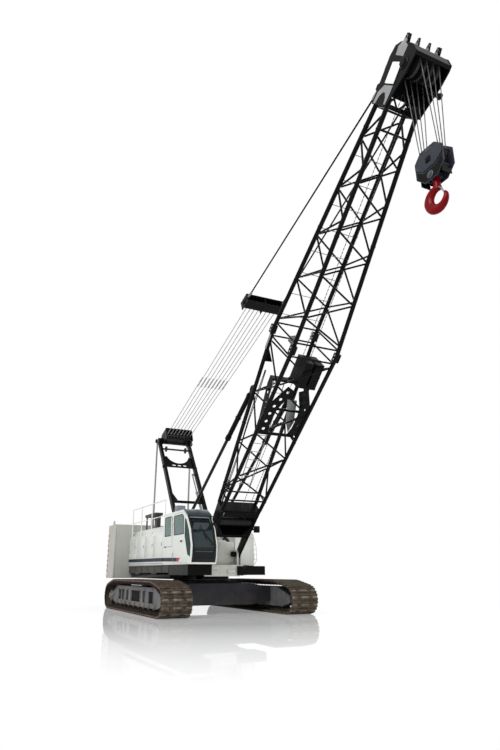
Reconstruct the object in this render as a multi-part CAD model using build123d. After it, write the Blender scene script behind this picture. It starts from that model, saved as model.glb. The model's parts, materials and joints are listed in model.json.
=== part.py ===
from build123d import *
import os
from math import atan2, cos, hypot, pi, radians, sin, sqrt

# Crawler crane with a lattice boom. Millimetres, +Z up, forward is -Y, the cab is on the -X side.
# Every piece is laid out about the slewing axis (x = 0, y = 0) and moved by frame_shift when it is written.

# General sizes
clearance = 0.3
running_gap = 8.0

# Crawlers
track_length = 6650.0
track_height = 1000.0
track_width = 900.0
width_over_tracks = 5015.0
end_wheel_z = 430.0
top_run_half = 2150.0
top_roller_radius = 170.0
shoe_count = 70
lug_height = 38.0
shoe_thickness = 34.0
chain_depth = 58.0
chain_width = 330.0
frame_width = 560.0
frame_low, frame_high = 215.0, 790.0
roller_radius = 95.0
roller_count = 9

# Carbody and slewing ring
carbody_half_length = 1620.0
carbody_half_width = 1080.0
carbody_low, carbody_high = 290.0, 950.0
cross_beam_depth = 640.0
ring_radius = 930.0
ring_height = 95.0

# Rotating bed and machinery houses
bed_low, bed_high = 1150.0, 1450.0
bed_front, bed_rear = -1250.0, 4600.0
house_outer = 1550.0
house_inner = 830.0
house_front_right, house_front_left = -380.0, -930.0
house_rear = 3690.0
house_shoulder = 2440.0
house_slope = 310.0
house_top = house_shoulder + house_slope
house_wall = 40.0
spine_thickness = 50.0

# Counterweight
weight_half_width = 2150.0
weight_front, weight_rear = 3710.0, 5010.0
weight_low, weight_joint, weight_high = 1010.0, 2000.0, 3010.0

# Cab
cab_outer, cab_inner = -1550.0, -725.0
cab_rear = -388.0
cab_floor, cab_roof = 1450.0, 3050.0
cab_wall = 45.0
door_gap = 8.0

# Boom, set out upright on its foot pins: front is -Y, then tilted forward to the rest angle
boom_angle = 44.4
boom_low_angle, boom_high_angle = 30.0, 80.0
foot_y, foot_z = -1583.0, 1780.0
foot_half_width = 620.0
splice_half_width = 674.0
splice_height = 7620.0
splice_half_depth = 683.0
lattice_top = splice_height + 6150.0
lattice_top_half_width, lattice_top_half_depth = 405.0, 230.0
chord_radius = 57.0
lacing_radius = 25.0
foot_eye_radius = 120.0
foot_eye_width = 60.0
foot_pin_radius = 45.0
head_shaft_y, head_shaft_z = -360.0, lattice_top + 700.0
head_tip = head_shaft_z + 610.0
head_cheek = 30.0
head_sheave_radius = 255.0
sheaves_x = (-270.0, -90.0, 90.0, 270.0)
sheave_width = 52.0
rope_radius = 13.0
pendant_pin_y, pendant_pin_z = 360.0, head_shaft_z - 520.0
pendant_radius, pendant_eye, pendant_bore = 22.0, 50.0, 25.0

# Hook block, hanging under the boom head shaft
block_shaft_drop = 2420.0
block_sheave_radius = 250.0
block_sheaves_x = (-84.0, -28.0, 28.0, 84.0)
block_sheave_width = 44.0
block_cheek_inner, block_cheek = 125.0, 20.0
trunnion_drop = 2785.0
hook_centre_drop = 3280.0
hook_throat_radius = 140.0
shank_radius = 55.0

# Gantry and boom hoist
gantry_foot_y, gantry_foot_z = 60.0, 1660.0
gantry_head_y, gantry_head_z = 3260.0, 6380.0
gantry_leg_width, gantry_leg_depth = 110.0, 170.0
bridle_y, bridle_z = -4690.0, 9230.0
bridle_half_width = 640.0
hoist_lines_x = (-500.0, -357.0, -214.0, -71.0, 71.0, 214.0, 357.0, 500.0)
hoist_rope_radius = 12.0
hoist_rope_length = 4330.0
hoist_rope_pair = 32.7
bail_sheave_along = 420.0
bail_low, bail_high = 170.0, 680.0
bail_inner, bail_plate, bail_half_depth = 564.0, 12.0, 235.0
hoist_sheave_radius, hoist_sheave_half = 195.0, 15.5
bridle_sheave_radius, bridle_sheave_half = 124.0, 22.0

# Backstops
backstop_x = 645.0
backstop_foot_y, backstop_foot_z = 64.0, 2750.0
backstop_pin_out, backstop_pin_drop = 149.0, 1920.0
backstop_tube_length = 2050.0
backstop_rod_start = 1480.0
backstop_tube_radius, backstop_bore_radius, backstop_rod_radius = 75.0, 60.0, 50.0

# Frame: the box of the whole crane is centred on y = 0
tilt = radians(90.0 - boom_angle)
boom_reach = foot_y - head_tip * sin(tilt)
frame_shift = -(boom_reach + weight_rear) / 2


# Shape helpers
def block(x, y, z):
    """A box between the pairs x, y and z."""
    centre = [(pair[0] + pair[1]) / 2 for pair in (x, y, z)]
    size = [abs(pair[1] - pair[0]) for pair in (x, y, z)]
    return Pos(*centre) * Box(*size)


def side_plate(outline, x0, x1):
    """A plate whose outline is a list of (y, z) points, from x0 to x1."""
    face = Plane.YZ.offset(min(x0, x1)) * Polygon(*outline, align=None)
    return extrude(face, abs(x1 - x0), dir=(1, 0, 0))


def deck_plate(outline, z0, z1):
    """A plate whose outline is a list of (x, y) points, from z0 to z1."""
    return extrude(Plane.XY.offset(z0) * Polygon(*outline, align=None), z1 - z0, dir=(0, 0, 1))


def cross_plate(outline, y0, y1):
    """A plate whose outline is a list of (x, z) points, from y0 to y1."""
    face = Plane.XZ.offset(-min(y0, y1)) * Polygon(*outline, align=None)
    return extrude(face, abs(y1 - y0), dir=(0, 1, 0))


def cross_shaft(y, z, radius, x0, x1):
    """A round bar along X."""
    ends = (Align.CENTER, Align.CENTER, Align.MIN)
    return Plane((x0, y, z), z_dir=(1, 0, 0)) * Cylinder(radius, x1 - x0, align=ends)


def cross_ring(y, z, outer, inner, x0, x1):
    """A tube along X."""
    return cross_shaft(y, z, outer, x0, x1) - cross_shaft(y, z, inner, x0 - 1, x1 + 1)


def tube_between(a, b, radius):
    """A round bar from point a to point b."""
    span = Vector(*b) - Vector(*a)
    ends = (Align.CENTER, Align.CENTER, Align.MIN)
    return Plane(Vector(*a), z_dir=span) * Cylinder(radius, span.length, align=ends)


def bar_between(a, b, radius, sides=8):
    """A bar with a regular many-sided section, for the thin members."""
    span = Vector(*b) - Vector(*a)
    return extrude(Plane(Vector(*a), z_dir=span) * RegularPolygon(radius, sides), span.length)


def box_between(a, b, width, depth):
    """A box section member in a plane x = constant, width along X."""
    span = Vector(*b) - Vector(*a)
    section = Plane(Vector(*a), x_dir=(1, 0, 0), z_dir=span) * Rectangle(width, depth)
    return extrude(section, span.length)


def mirrored(pieces):
    """The pieces and their copies on the other side of the middle plane."""
    return pieces + [mirror(piece, about=Plane.YZ) for piece in pieces]


def write(node, pieces):
    """Writes one node, moved from the slewing axis to the frame of the whole crane."""
    solids = [solid for piece in pieces for solid in piece.solids()]
    moved = [Pos(0, frame_shift, 0) * solid for solid in solids]
    export_step(moved[0] if len(moved) == 1 else Compound(children=moved), f"parts/{node}.step")


def tilt_boom(piece):
    """Takes a piece from the upright boom to its place at the rest angle."""
    return Pos(0, foot_y, foot_z) * Rot(90.0 - boom_angle, 0, 0) * piece


def boom_point(x, y, z):
    """The place at rest of a point of the upright boom."""
    return (x, foot_y + y * cos(tilt) - z * sin(tilt), foot_z + y * sin(tilt) + z * cos(tilt))


# Crawler track: a belt line round two end wheels and two top rollers, cut into equal shoes
track_centre = (width_over_tracks - track_width) / 2
arc_steps = 60
belt_depth = lug_height + shoe_thickness
end_wheel_y = track_length / 2 - end_wheel_z
belt_circles = (
    (end_wheel_y, end_wheel_z, end_wheel_z - belt_depth),
    (top_run_half, track_height - belt_depth - top_roller_radius, top_roller_radius),
    (-top_run_half, track_height - belt_depth - top_roller_radius, top_roller_radius),
    (-end_wheel_y, end_wheel_z, end_wheel_z - belt_depth),
)


def belt_line(inset):
    """Points (y, z) of the closed belt line, inset mm inside the shoes' inner face, at equal steps."""
    spans = []
    for this, after in zip(belt_circles, belt_circles[1:] + belt_circles[:1]):
        dy, dz = after[0] - this[0], after[1] - this[1]
        drop = this[2] - after[2]
        spans.append(atan2(dz, dy) - pi / 2 + atan2(drop, sqrt(dy**2 + dz**2 - drop**2)))
    line = []
    for number, (y, z, radius) in enumerate(belt_circles):
        start, stop = spans[number - 1], spans[number]
        while stop < start:
            stop += 2 * pi
        for k in range(arc_steps + 1):
            turn = start + (stop - start) * k / arc_steps
            line.append((y + (radius - inset) * cos(turn), z + (radius - inset) * sin(turn)))
    lengths = [hypot(b[0] - a[0], b[1] - a[1]) for a, b in zip(line, line[1:] + line[:1])]
    step = sum(lengths) / shoe_count
    points, travelled, wanted = [], 0.0, 0.0
    for a, b, length in zip(line, line[1:] + line[:1], lengths):
        while wanted < travelled + length - 1e-6 and len(points) < shoe_count:
            share = (wanted - travelled) / length
            points.append((a[0] + (b[0] - a[0]) * share, a[1] + (b[1] - a[1]) * share))
            wanted += step
        travelled += length
    return points


# Shoe outline: (share of the pitch, height above the shoe's inner face)
shoe_outline = (
    (0.03, shoe_thickness),
    (0.14, belt_depth),
    (0.30, belt_depth),
    (0.40, shoe_thickness),
    (0.72, shoe_thickness),
    (0.80, belt_depth),
    (0.92, belt_depth),
    (0.98, shoe_thickness),
)


def track_loop():
    """One crawler track about x = 0: the shoes as one closed band, with the link chain inside."""
    pins = belt_line(0.0)
    outer = []
    for a, b in zip(pins, pins[1:] + pins[:1]):
        pitch = hypot(b[0] - a[0], b[1] - a[1])
        along = ((b[0] - a[0]) / pitch, (b[1] - a[1]) / pitch)
        for share, height in shoe_outline:
            y = a[0] + along[0] * pitch * share + along[1] * height
            outer.append((y, a[1] + along[1] * pitch * share - along[0] * height))
    shoes = side_plate(outer, -track_width / 2, track_width / 2) - side_plate(pins, -track_width, track_width)
    chain = side_plate(belt_line(-6.0), -chain_width / 2, chain_width / 2)
    return shoes + chain - side_plate(belt_line(chain_depth), -chain_width, chain_width)


track = track_loop()
chain_floor = belt_depth + chain_depth
chain_line = belt_line(chain_depth)
chain_step = hypot(chain_line[1][0] - chain_line[0][0], chain_line[1][1] - chain_line[0][1])
wheel_radius = sqrt((end_wheel_z - chain_floor) ** 2 - (chain_step / 2) ** 2) - clearance


fork_half, roller_pocket = 200.0, 120.0


def end_wheel(teeth):
    """An end wheel at x = 0: hub, web and rim, with driving lugs where teeth is not 0."""
    rim = cross_ring(0, 0, wheel_radius, wheel_radius - 70, -110, 110)
    web = cross_shaft(0, 0, wheel_radius - 69, -30, 30)
    hub = cross_shaft(0, 0, 125, -fork_half + clearance, fork_half - clearance)
    wheel = rim + web + hub
    if teeth:
        cutter = Pos(0, wheel_radius + 22, 0) * cross_shaft(0, 0, 62, -50, 50)
        for number in range(teeth):
            wheel -= Rot(360 * (number + 0.5) / teeth, 0, 0) * cutter
    return wheel


# Pockets in the frame's outer side, by their ends along the track
frame_pockets = ((-1950, -1500), (-1150, -930), (-620, 380), (720, 940), (1250, 1500), (1640, 1900))


def frame_body():
    """A track frame at x = 0, positive side out: a box beam with forked ends and pocketed side."""
    outline = [(-end_wheel_y + 60, 330), (-end_wheel_y + 60, 520), (-2080, frame_high), (2080, frame_high)]
    outline += [(end_wheel_y - 60, 520), (end_wheel_y - 60, 330), (2350, frame_low), (-2350, frame_low)]
    beam = side_plate(outline, -frame_width / 2, frame_width / 2)
    for side in (-1, 1):
        fork_y = (side * (end_wheel_y - 380), side * (end_wheel_y + 100))
        beam -= block((-fork_half, fork_half), fork_y, (0, 1000))
    for low, high in frame_pockets:
        beam -= block((frame_width / 2 - 90, frame_width / 2 + 10), (low, high), (330, 690))
    for number in range(roller_count):
        y = -2100 + 4200 * number / (roller_count - 1)
        pocket_z = (frame_low - 10, chain_floor + 2 * roller_radius + 20)
        beam -= block((-roller_pocket, roller_pocket), (y - 130, y + 130), pocket_z)
    return beam


frame_shape = frame_body()
roller_half = roller_pocket - clearance
bottom_rollers = []
for number in range(roller_count):
    y = -2100 + 4200 * number / (roller_count - 1)
    bottom_rollers.append(
        cross_shaft(y, chain_floor + roller_radius + clearance, roller_radius, -roller_half, roller_half)
    )


def on_right(piece):
    return Pos(-track_centre, 0, 0) * mirror(piece, about=Plane.YZ)


def on_left(piece):
    return Pos(track_centre, 0, 0) * piece


# Carbody: a centre box between two cross beams that run out to the track frames
frame_inner = track_centre - frame_width / 2
beam_inner = carbody_half_length - cross_beam_depth
carbody_span = (-beam_inner + clearance, beam_inner - clearance)
carbody = block((-carbody_half_width, carbody_half_width), carbody_span, (carbody_low, carbody_high))
carbody += Pos(0, 0, carbody_high + 15) * Cylinder(ring_radius + 45, 30)
beam_outline = [
    (-frame_inner + clearance, carbody_low + 60),
    (-carbody_half_width, carbody_low - 40),
    (carbody_half_width, carbody_low - 40),
    (frame_inner - clearance, carbody_low + 60),
    (frame_inner - clearance, frame_high - 40),
    (carbody_half_width, carbody_high - 60),
    (-carbody_half_width, carbody_high - 60),
    (-frame_inner + clearance, frame_high - 40),
]
cross_beams = [cross_plate(beam_outline, side * beam_inner, side * carbody_half_length) for side in (-1, 1)]
ring_low = carbody_high + 30
lower_ring = Cylinder(ring_radius, ring_height) - Cylinder(ring_radius - 150, ring_height + 2)
lower_ring = Pos(0, 0, ring_low + ring_height / 2) * lower_ring

# Rotating bed: a box frame on the upper ring, with a nose under the boom foot
bed_half_width = 700.0
ring_top = ring_low + ring_height + clearance
bed = block((-bed_half_width, bed_half_width), (bed_front, bed_rear), (bed_low, bed_high))
wing = (-house_outer + 20, house_outer - 20)
bed += block(wing, (house_front_left, house_rear - 20), (bed_low + 60, bed_high - clearance))
bed += Pos(0, 0, (ring_top + bed_low + 10) / 2) * Cylinder(ring_radius - 20, bed_low + 10 - ring_top)

# Upright plates on the bed: two spines that carry the boom foot and the drums, the outer pivot lugs,
# and the outer stands of the backstops
drum_places = {"main": (-830.0, 1960.0), "auxiliary": (1050.0, 1960.0), "boom_hoist": (2150.0, 1900.0)}
drum_shaft_radius = 70.0
plate_low = bed_high + clearance
spine_outline = [
    (-1700, plate_low),
    (-1705, 1800),
    (-1640, 1905),
    (-1500, 1905),
    (-1250, 1850),
    (-1050, 2100),
    (-250, 2350),
    (40, 2900),
    (330, 2900),
    (640, 2350),
    (2900, 2150),
    (3500, 1750),
    (3620, plate_low),
]
spine_inner = foot_half_width - foot_eye_width / 2 - running_gap - spine_thickness
spine_outer = spine_inner + spine_thickness
lug_inner = foot_half_width + foot_eye_width / 2 + running_gap
lug_outer = lug_inner + 40
stand_inner, stand_outer = 705.0, 745.0
spine = side_plate(spine_outline, spine_inner, spine_outer)
for y, z in drum_places.values():
    spine -= cross_shaft(y, z, drum_shaft_radius + 0.05, spine_inner - 1, spine_outer + 1)
foot_lug = side_plate(spine_outline[:4] + [(-1100, plate_low)], lug_inner, lug_outer)
stand_outline = [
    (backstop_foot_y - 204, plate_low),
    (backstop_foot_y - 124, backstop_foot_z + 100),
    (backstop_foot_y + 126, backstop_foot_z + 100),
    (backstop_foot_y + 356, plate_low),
]
stand = side_plate(stand_outline, stand_inner, stand_outer)
bed += block((-stand_outer, stand_outer), (-1705, bed_front + 1), (bed_low + 20, bed_high))
bed += block((-stand_outer, stand_outer), (-400, 500), (bed_low + 20, bed_high))
upright_plates = []
for piece in mirrored([spine, foot_lug]):
    upright_plates.append(piece - cross_shaft(foot_y, foot_z, foot_pin_radius, -800, 800))
upright_plates += mirrored([stand])
foot_pins = mirrored([cross_shaft(foot_y, foot_z, foot_pin_radius - 0.05, spine_inner - 20, lug_outer + 10)])


# Machinery houses: hollow sheet housings with a sloped shoulder
def house(front):
    """A machinery house on the left side, from its front wall to the counterweight."""
    outline = [(house_inner, bed_high), (house_outer, bed_high), (house_outer, house_shoulder)]
    outline += [(house_outer - house_slope, house_top), (house_inner, house_top)]
    floor_z = bed_high + house_wall
    inner = [(house_inner + house_wall, floor_z), (house_outer - house_wall, floor_z)]
    inner += [(house_outer - house_wall, house_shoulder - 17)]
    inner += [(house_outer - house_slope - 17, house_top - house_wall)]
    inner += [(house_inner + house_wall, house_top - house_wall)]
    section = Plane.XZ.offset(-house_rear) * Polygon(*outline, align=None)
    hollow = Plane.XZ.offset(-house_rear + house_wall) * Polygon(*inner, align=None)
    outside = extrude(section, house_rear - front, dir=(0, -1, 0))
    return outside - extrude(hollow, house_rear - front - 2 * house_wall, dir=(0, -1, 0))


house_right = mirror(house(house_front_right), about=Plane.YZ)
house_left = house(house_front_left)
engine = block((house_inner + 90, house_outer - 120), (900, 2700), (bed_high + house_wall, 2420))

# Counterweight: two cast slabs with chamfered rear corners
weight_plan = [(-weight_half_width, weight_front), (weight_half_width, weight_front)]
weight_plan += [(weight_half_width, weight_rear - 250), (weight_half_width - 420, weight_rear)]
weight_plan += [(-weight_half_width + 420, weight_rear), (-weight_half_width, weight_rear - 250)]
weight_lower = deck_plate(weight_plan, weight_low, weight_joint)
notch = (weight_front - 10, bed_rear + clearance)
notch_half = bed_half_width + clearance
weight_lower -= block((-notch_half, notch_half), notch, (weight_low - 10, bed_high + clearance))
weight_upper = deck_plate(weight_plan, weight_joint + clearance, weight_high)
weight_lug_y, weight_lug_height, weight_lug_bore = 4050.0, 150.0, 30.0
lug_outline = [
    (weight_lug_y - 120, weight_high + clearance),
    (weight_lug_y + 120, weight_high + clearance),
    (weight_lug_y + 45, weight_high + weight_lug_height),
    (weight_lug_y - 45, weight_high + weight_lug_height),
]
weight_lug = side_plate(lug_outline, weight_half_width - 45, weight_half_width - 5)
weight_lug -= cross_shaft(weight_lug_y, weight_high + 90, weight_lug_bore, 2000, 2200)
weight_lugs = mirrored([weight_lug])

# Cab: side outline (y, z) shared by the shell, the door and the panes
cab_front_low, cab_front_mid, cab_front_top = -2860.0, -2950.0, -2480.0
cab_outline = [
    (cab_rear, cab_floor),
    (cab_rear, cab_roof),
    (-2190, cab_roof),
    (cab_front_top, 2870),
    (-2790, 2440),
    (cab_front_mid, 1980),
    (-2930, 1700),
    (cab_front_low, cab_floor),
]
cab_inside = [
    (cab_rear - cab_wall, cab_floor + 60),
    (cab_rear - cab_wall, cab_roof - 60),
    (-2150, cab_roof - 60),
    (cab_front_top + 65, 2830),
    (-2725, 2425),
    (cab_front_mid + 60, 1975),
    (-2870, 1705),
    (cab_front_low + 50, cab_floor + 60),
]
shell = side_plate(cab_outline, cab_outer, cab_inner)
shell -= side_plate(cab_inside, cab_outer + cab_wall, cab_inner - cab_wall)
# Front window, from sill to roof edge, between the corner pillars
shell -= block((cab_outer + 75, cab_inner - 75), (-3100, -2400), (1560, 2800))
# Door opening in the outer side, and the fixed rear side window
door_outline = [(-1335, 1500), (-1335, 2985), (-2160, 2985), (-2330, 2870), (-2360, 2300)]
door_outline += [(-2580, 1700), (-2580, 1500)]
door_hole = [(-1335 + door_gap, 1500 - door_gap), (-1335 + door_gap, 2985 + door_gap)]
door_hole.append((-2160, 2985 + door_gap))
door_hole += [(-2330 - door_gap, 2870 + door_gap), (-2360 - door_gap, 2300), (-2580 - door_gap, 1700)]
door_hole += [(-2580 - door_gap, 1500 - door_gap)]
shell -= side_plate(door_hole, cab_outer - 10, cab_outer + cab_wall + 10)
rear_pane_outline = [(-520, 2330), (-520, 2940), (-1220, 2940), (-1220, 2330)]
shell -= side_plate(rear_pane_outline, cab_outer - 10, cab_outer + cab_wall + 10)
# Inner side window and rear window
inner_pane_outline = [(-1300, 1950), (-1300, 2940), (-2250, 2940), (-2620, 2300), (-2680, 1950)]
shell -= side_plate(inner_pane_outline, cab_inner - cab_wall - 10, cab_inner + 10)
shell -= block((cab_outer + 150, cab_inner - 150), (cab_rear - cab_wall - 10, cab_rear + 10), (2350, 2920))

# The shell as separate panels: floor with sill, roof, rear wall, side walls, pillars and header
pillar = 75.0
sill_high, header_low = 1560.0, 2800.0
floor_top, roof_low = cab_floor + 60, cab_roof - 60
mid = (floor_top + clearance, roof_low - clearance)
rear_face = cab_rear - cab_wall
pillar_rear = -2300.0
between_pillars = (cab_outer + pillar + clearance, cab_inner - pillar - clearance)
behind_pillars = (pillar_rear + clearance, rear_face - clearance)
shell_regions = (
    block((cab_outer, cab_inner), (-3000, 0), (cab_floor, floor_top)),
    block((cab_outer, cab_inner), (-3000, 0), (roof_low, cab_roof)),
    block((cab_outer, cab_inner), (rear_face, cab_rear), mid),
    block((cab_inner - cab_wall, cab_inner), behind_pillars, mid),
    block((cab_outer, cab_outer + cab_wall), (-1330, rear_face - clearance), mid),
    block((cab_outer, cab_outer + pillar), (-3000, -1340), mid),
    block((cab_inner - pillar, cab_inner), (-3000, pillar_rear), mid),
    block(between_pillars, (-3000, -2150), (header_low, roof_low - clearance)),
    block(between_pillars, (-3000, -2700), (floor_top + clearance, sill_high)),
)
shell_panels = [shell & region for region in shell_regions]

# Door on two outside hinges: the pins and their lugs are on the rear panel, the knuckles on the door
hinge_x, hinge_y = cab_outer - 22.0, -1331.0
hinge_pin, hinge_barrel = 8.0, 16.0
door = side_plate(door_outline, cab_outer, cab_outer + cab_wall)
for z in (1750.0, 2700.0):
    hinge = Pos(hinge_x, hinge_y, z) * Cylinder(hinge_pin, 110)
    for side in (-1, 1):
        ends = sorted((z + side * 30, z + side * 55))
        hinge += Pos(hinge_x, hinge_y, z + side * 42.5) * Cylinder(hinge_barrel, 25)
        hinge += block((hinge_x - hinge_barrel, cab_outer), (hinge_y, hinge_y + 45), ends)
    shell_panels[4] += hinge
    door += Pos(hinge_x, hinge_y, z) * Cylinder(hinge_barrel, 50)
    door += block((hinge_x + 8, cab_outer + 1), (hinge_y - 75, hinge_y), (z - 25, z + 25))
    door -= Pos(hinge_x, hinge_y, z) * Cylinder(hinge_pin + 0.05, 60)
door_pane_outline = [(-1400, 2330), (-1400, 2930), (-2140, 2930), (-2270, 2840), (-2290, 2330)]
door -= side_plate(door_pane_outline, cab_outer - 10, cab_outer + cab_wall + 10)
door_glass = side_plate(door_pane_outline, cab_outer + 18, cab_outer + 24)
panes = [
    side_plate(rear_pane_outline, cab_outer + 18, cab_outer + 24),
    side_plate(inner_pane_outline, cab_inner - 24, cab_inner - 18),
    block((cab_outer + 150, cab_inner - 150), (cab_rear - 24, cab_rear - 18), (2350, 2920)),
]
front_outer = [(-2440, 2800), (-2765, 2440), (-2925, 1980), (-2905, 1700), (-2870, 1560)]
front_inner = [(y + 8, z) for y, z in reversed(front_outer)]
panes.append(side_plate(front_outer + front_inner, cab_outer + 75, cab_inner - 75))
cab_base_span = (cab_outer + 30, -stand_outer - clearance)
cab_base = block(cab_base_span, (-2600, house_front_left - clearance), (bed_low - 10, cab_floor - clearance))
seat = block((-1400, -900), (-1650, -1150), (cab_floor + 60 + clearance, 1900))
seat += block((-1400, -900), (-1240, -1130), (1880, 2560))
console = block((-870, -780), (-2200, -1200), (cab_floor + 60 + clearance, 2050))

# Gantry: raked front legs with a tie and a pierced gusset, and a head shaft that carries the hoist bail
gantry_run = (gantry_head_y - gantry_foot_y, gantry_head_z - gantry_foot_z)
gantry_length = hypot(*gantry_run)
gantry_rake = (gantry_run[0] / gantry_length, gantry_run[1] / gantry_length)
gantry_shaft_radius = 55.0
gantry_tie_share, gusset_share = 0.44, 0.78
gusset_low, gusset_high, gusset_waist = -160.0, 400.0, 50.0


def on_gantry(share):
    """The point of the gantry leg's axis at a share of its length."""
    return (gantry_foot_y + gantry_run[0] * share, gantry_foot_z + gantry_run[1] * share)


leg_x = spine_outer + clearance + gantry_leg_width / 2
leg_inner = leg_x - gantry_leg_width / 2
leg = box_between((leg_x, *on_gantry(0.0)), (leg_x, *on_gantry(0.985)), gantry_leg_width, gantry_leg_depth)
leg += cross_shaft(gantry_head_y, gantry_head_z, 150, leg_inner, leg_x + gantry_leg_width / 2)
leg -= cross_shaft(gantry_head_y, gantry_head_z, gantry_shaft_radius + 0.05, leg_inner - 1, leg_x + 80)
gantry_frame = mirrored([leg])
gantry_frame.append(cross_shaft(gantry_head_y, gantry_head_z, gantry_shaft_radius, -leg_x - 150, leg_x + 150))
tie_y, tie_z = on_gantry(gantry_tie_share)
gantry_frame.append(cross_shaft(tie_y, tie_z, 52, -leg_inner + clearance, leg_inner - clearance))
across_leg = (0, -gantry_rake[1], gantry_rake[0])
rake_plane = Plane((0, *on_gantry(gusset_share)), x_dir=(1, 0, 0), z_dir=across_leg)
gusset_half = leg_inner - clearance
waist_radius = 480.0
gusset = Pos(0, (gusset_low + gusset_high) / 2) * Rectangle(2 * gusset_half, gusset_high - gusset_low)
gusset -= Pos(0, gusset_waist + waist_radius) * Circle(waist_radius)
for x in (-230, 0, 230):
    gusset -= Pos(x, (gusset_low + gusset_waist) / 2) * SlotOverall(160, 90)
gantry_frame.append(extrude(rake_plane * gusset, 20, both=True))
for side in (-1, 1):
    corner = [(side * gusset_half, 0), (side * gusset_half, 420), (side * (gusset_half - 190), 0)]
    tie_plane = Plane((0, tie_y, tie_z), x_dir=(1, 0, 0), z_dir=across_leg)
    foot = Pos(0, 52 + clearance) * Polygon(*corner, align=None)
    gantry_frame.append(extrude(tie_plane * foot, 12, both=True))
link_x = leg_x + gantry_leg_width / 2 + 40
link_foot = (link_x, 3420, bed_high + clearance + 22)
link = box_between(link_foot, (link_x, gantry_head_y, gantry_head_z), 40, 90)
link += cross_shaft(gantry_head_y, gantry_head_z, 90, link_x - 20, link_x + 20)
link -= cross_shaft(gantry_head_y, gantry_head_z, gantry_shaft_radius + 0.05, link_x - 30, link_x + 30)
rear_links = mirrored([link])

# Boom hoist line from the gantry head to the bridle
line_length = hypot(gantry_head_y - bridle_y, bridle_z - gantry_head_z)
line_y, line_z = (bridle_y - gantry_head_y) / line_length, (bridle_z - gantry_head_z) / line_length


def on_hoist_line(along, up=0.0):
    """A point (y, z), along mm from the gantry head towards the bridle, up mm above the line."""
    return (gantry_head_y + line_y * along + line_z * up, gantry_head_z + line_z * along - line_y * up)


# Hoist bail: two side plates that swing on the head shaft, two covers and the sheave shaft
bail_shaft_radius = 30.0
bail_outline = [on_hoist_line(-80, -80), on_hoist_line(-80, 80), on_hoist_line(bail_low, bail_half_depth)]
bail_outline += [on_hoist_line(bail_high, bail_half_depth), on_hoist_line(bail_high, -bail_half_depth)]
bail_outline.append(on_hoist_line(bail_low, -bail_half_depth))
bail_place = on_hoist_line(bail_sheave_along)
bail_side = side_plate(bail_outline, bail_inner, bail_inner + bail_plate)
bail_side -= cross_shaft(gantry_head_y, gantry_head_z, gantry_shaft_radius + 0.05, 0, 800)
bail_side -= cross_shaft(*bail_place, bail_shaft_radius + 0.05, 0, 800)
hoist_bail = mirrored([bail_side])
bail_outer = bail_inner + bail_plate
hoist_bail.append(cross_shaft(*bail_place, bail_shaft_radius, -bail_outer, bail_outer))
for face, start in ((1, bail_low), (-1, bail_low + 30)):
    cover = [on_hoist_line(start, face * bail_half_depth), on_hoist_line(bail_high, face * bail_half_depth)]
    cover += [on_hoist_line(bail_high, face * (bail_half_depth - bail_plate))]
    cover += [on_hoist_line(start, face * (bail_half_depth - bail_plate))]
    hoist_bail.append(side_plate(cover, -bail_inner + clearance, bail_inner - clearance))
gantry_sheaves = []
for x in hoist_lines_x:
    sides = (x - hoist_sheave_half, x + hoist_sheave_half)
    gantry_sheaves.append(cross_ring(*bail_place, hoist_sheave_radius, bail_shaft_radius + 0.05, *sides))

# Winch drums between the spine plates
drum_half = spine_inner - running_gap - 6


def drum(place, barrel, flange):
    """A rope drum with two flanges, on a shaft that turns in the spine plates."""
    body = cross_shaft(*place, barrel, -drum_half + 20, drum_half - 20)
    body += cross_shaft(*place, drum_shaft_radius, -spine_outer - 25, spine_outer + 25)
    for side in (-1, 1):
        low, high = sorted((side * (drum_half - 30), side * drum_half))
        body += cross_shaft(*place, flange, low, high)
    return body


drum_sizes = {"main": (270, 400), "auxiliary": (270, 400), "boom_hoist": (210, 320)}
drums = {name: drum(drum_places[name], *size) for name, size in drum_sizes.items()}

# Railing round the shoulder of the right house, and the front step deck
rail_x = -house_outer + 50
rail_posts_y = (3560, 2380, 1120, -330)
rail_foot_z = house_shoulder + 50 + 19 + clearance
rail_top_z = 3560.0
rail_radius = 19.0
railing = []
for y in rail_posts_y:
    post_top = (rail_x, y, rail_top_z - rail_radius - clearance)
    railing.append(bar_between((rail_x, y, rail_foot_z), post_top, rail_radius, 6))
rail_ends = [(rail_x, rail_posts_y[0] + 40, rail_top_z), (rail_x, rail_posts_y[-1] - 40, rail_top_z)]
railing.append(bar_between(*rail_ends, rail_radius, 6))
for high, low in zip(rail_posts_y, rail_posts_y[1:]):
    for z in (rail_foot_z + 150, (rail_foot_z + rail_top_z) / 2):
        flat = rail_radius * cos(pi / 6) + clearance
        ends = (high - flat, low + flat)
        railing.append(bar_between((rail_x, ends[0], z), (rail_x, ends[1], z), rail_radius - 4, 6))

deck_box = block((790, 1500), (-1790, house_front_left - clearance), (1140, 1410))


# Boom lattice, upright: four chords from the foot pins to the splice, four more to the head
def chord_at(x_side, y_side, z):
    """The axis of a chord at height z; sides are -1 or 1, y_side -1 is the front."""
    if z <= splice_height:
        share = z / splice_height
        half_width = foot_half_width + (splice_half_width - foot_half_width) * share
        return (x_side * half_width, y_side * splice_half_depth * share, z)
    share = (z - splice_height) / (lattice_top - splice_height)
    half_width = splice_half_width + (lattice_top_half_width - splice_half_width) * share
    half_depth = splice_half_depth + (lattice_top_half_depth - splice_half_depth) * share
    return (x_side * half_width, y_side * half_depth, z)


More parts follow.
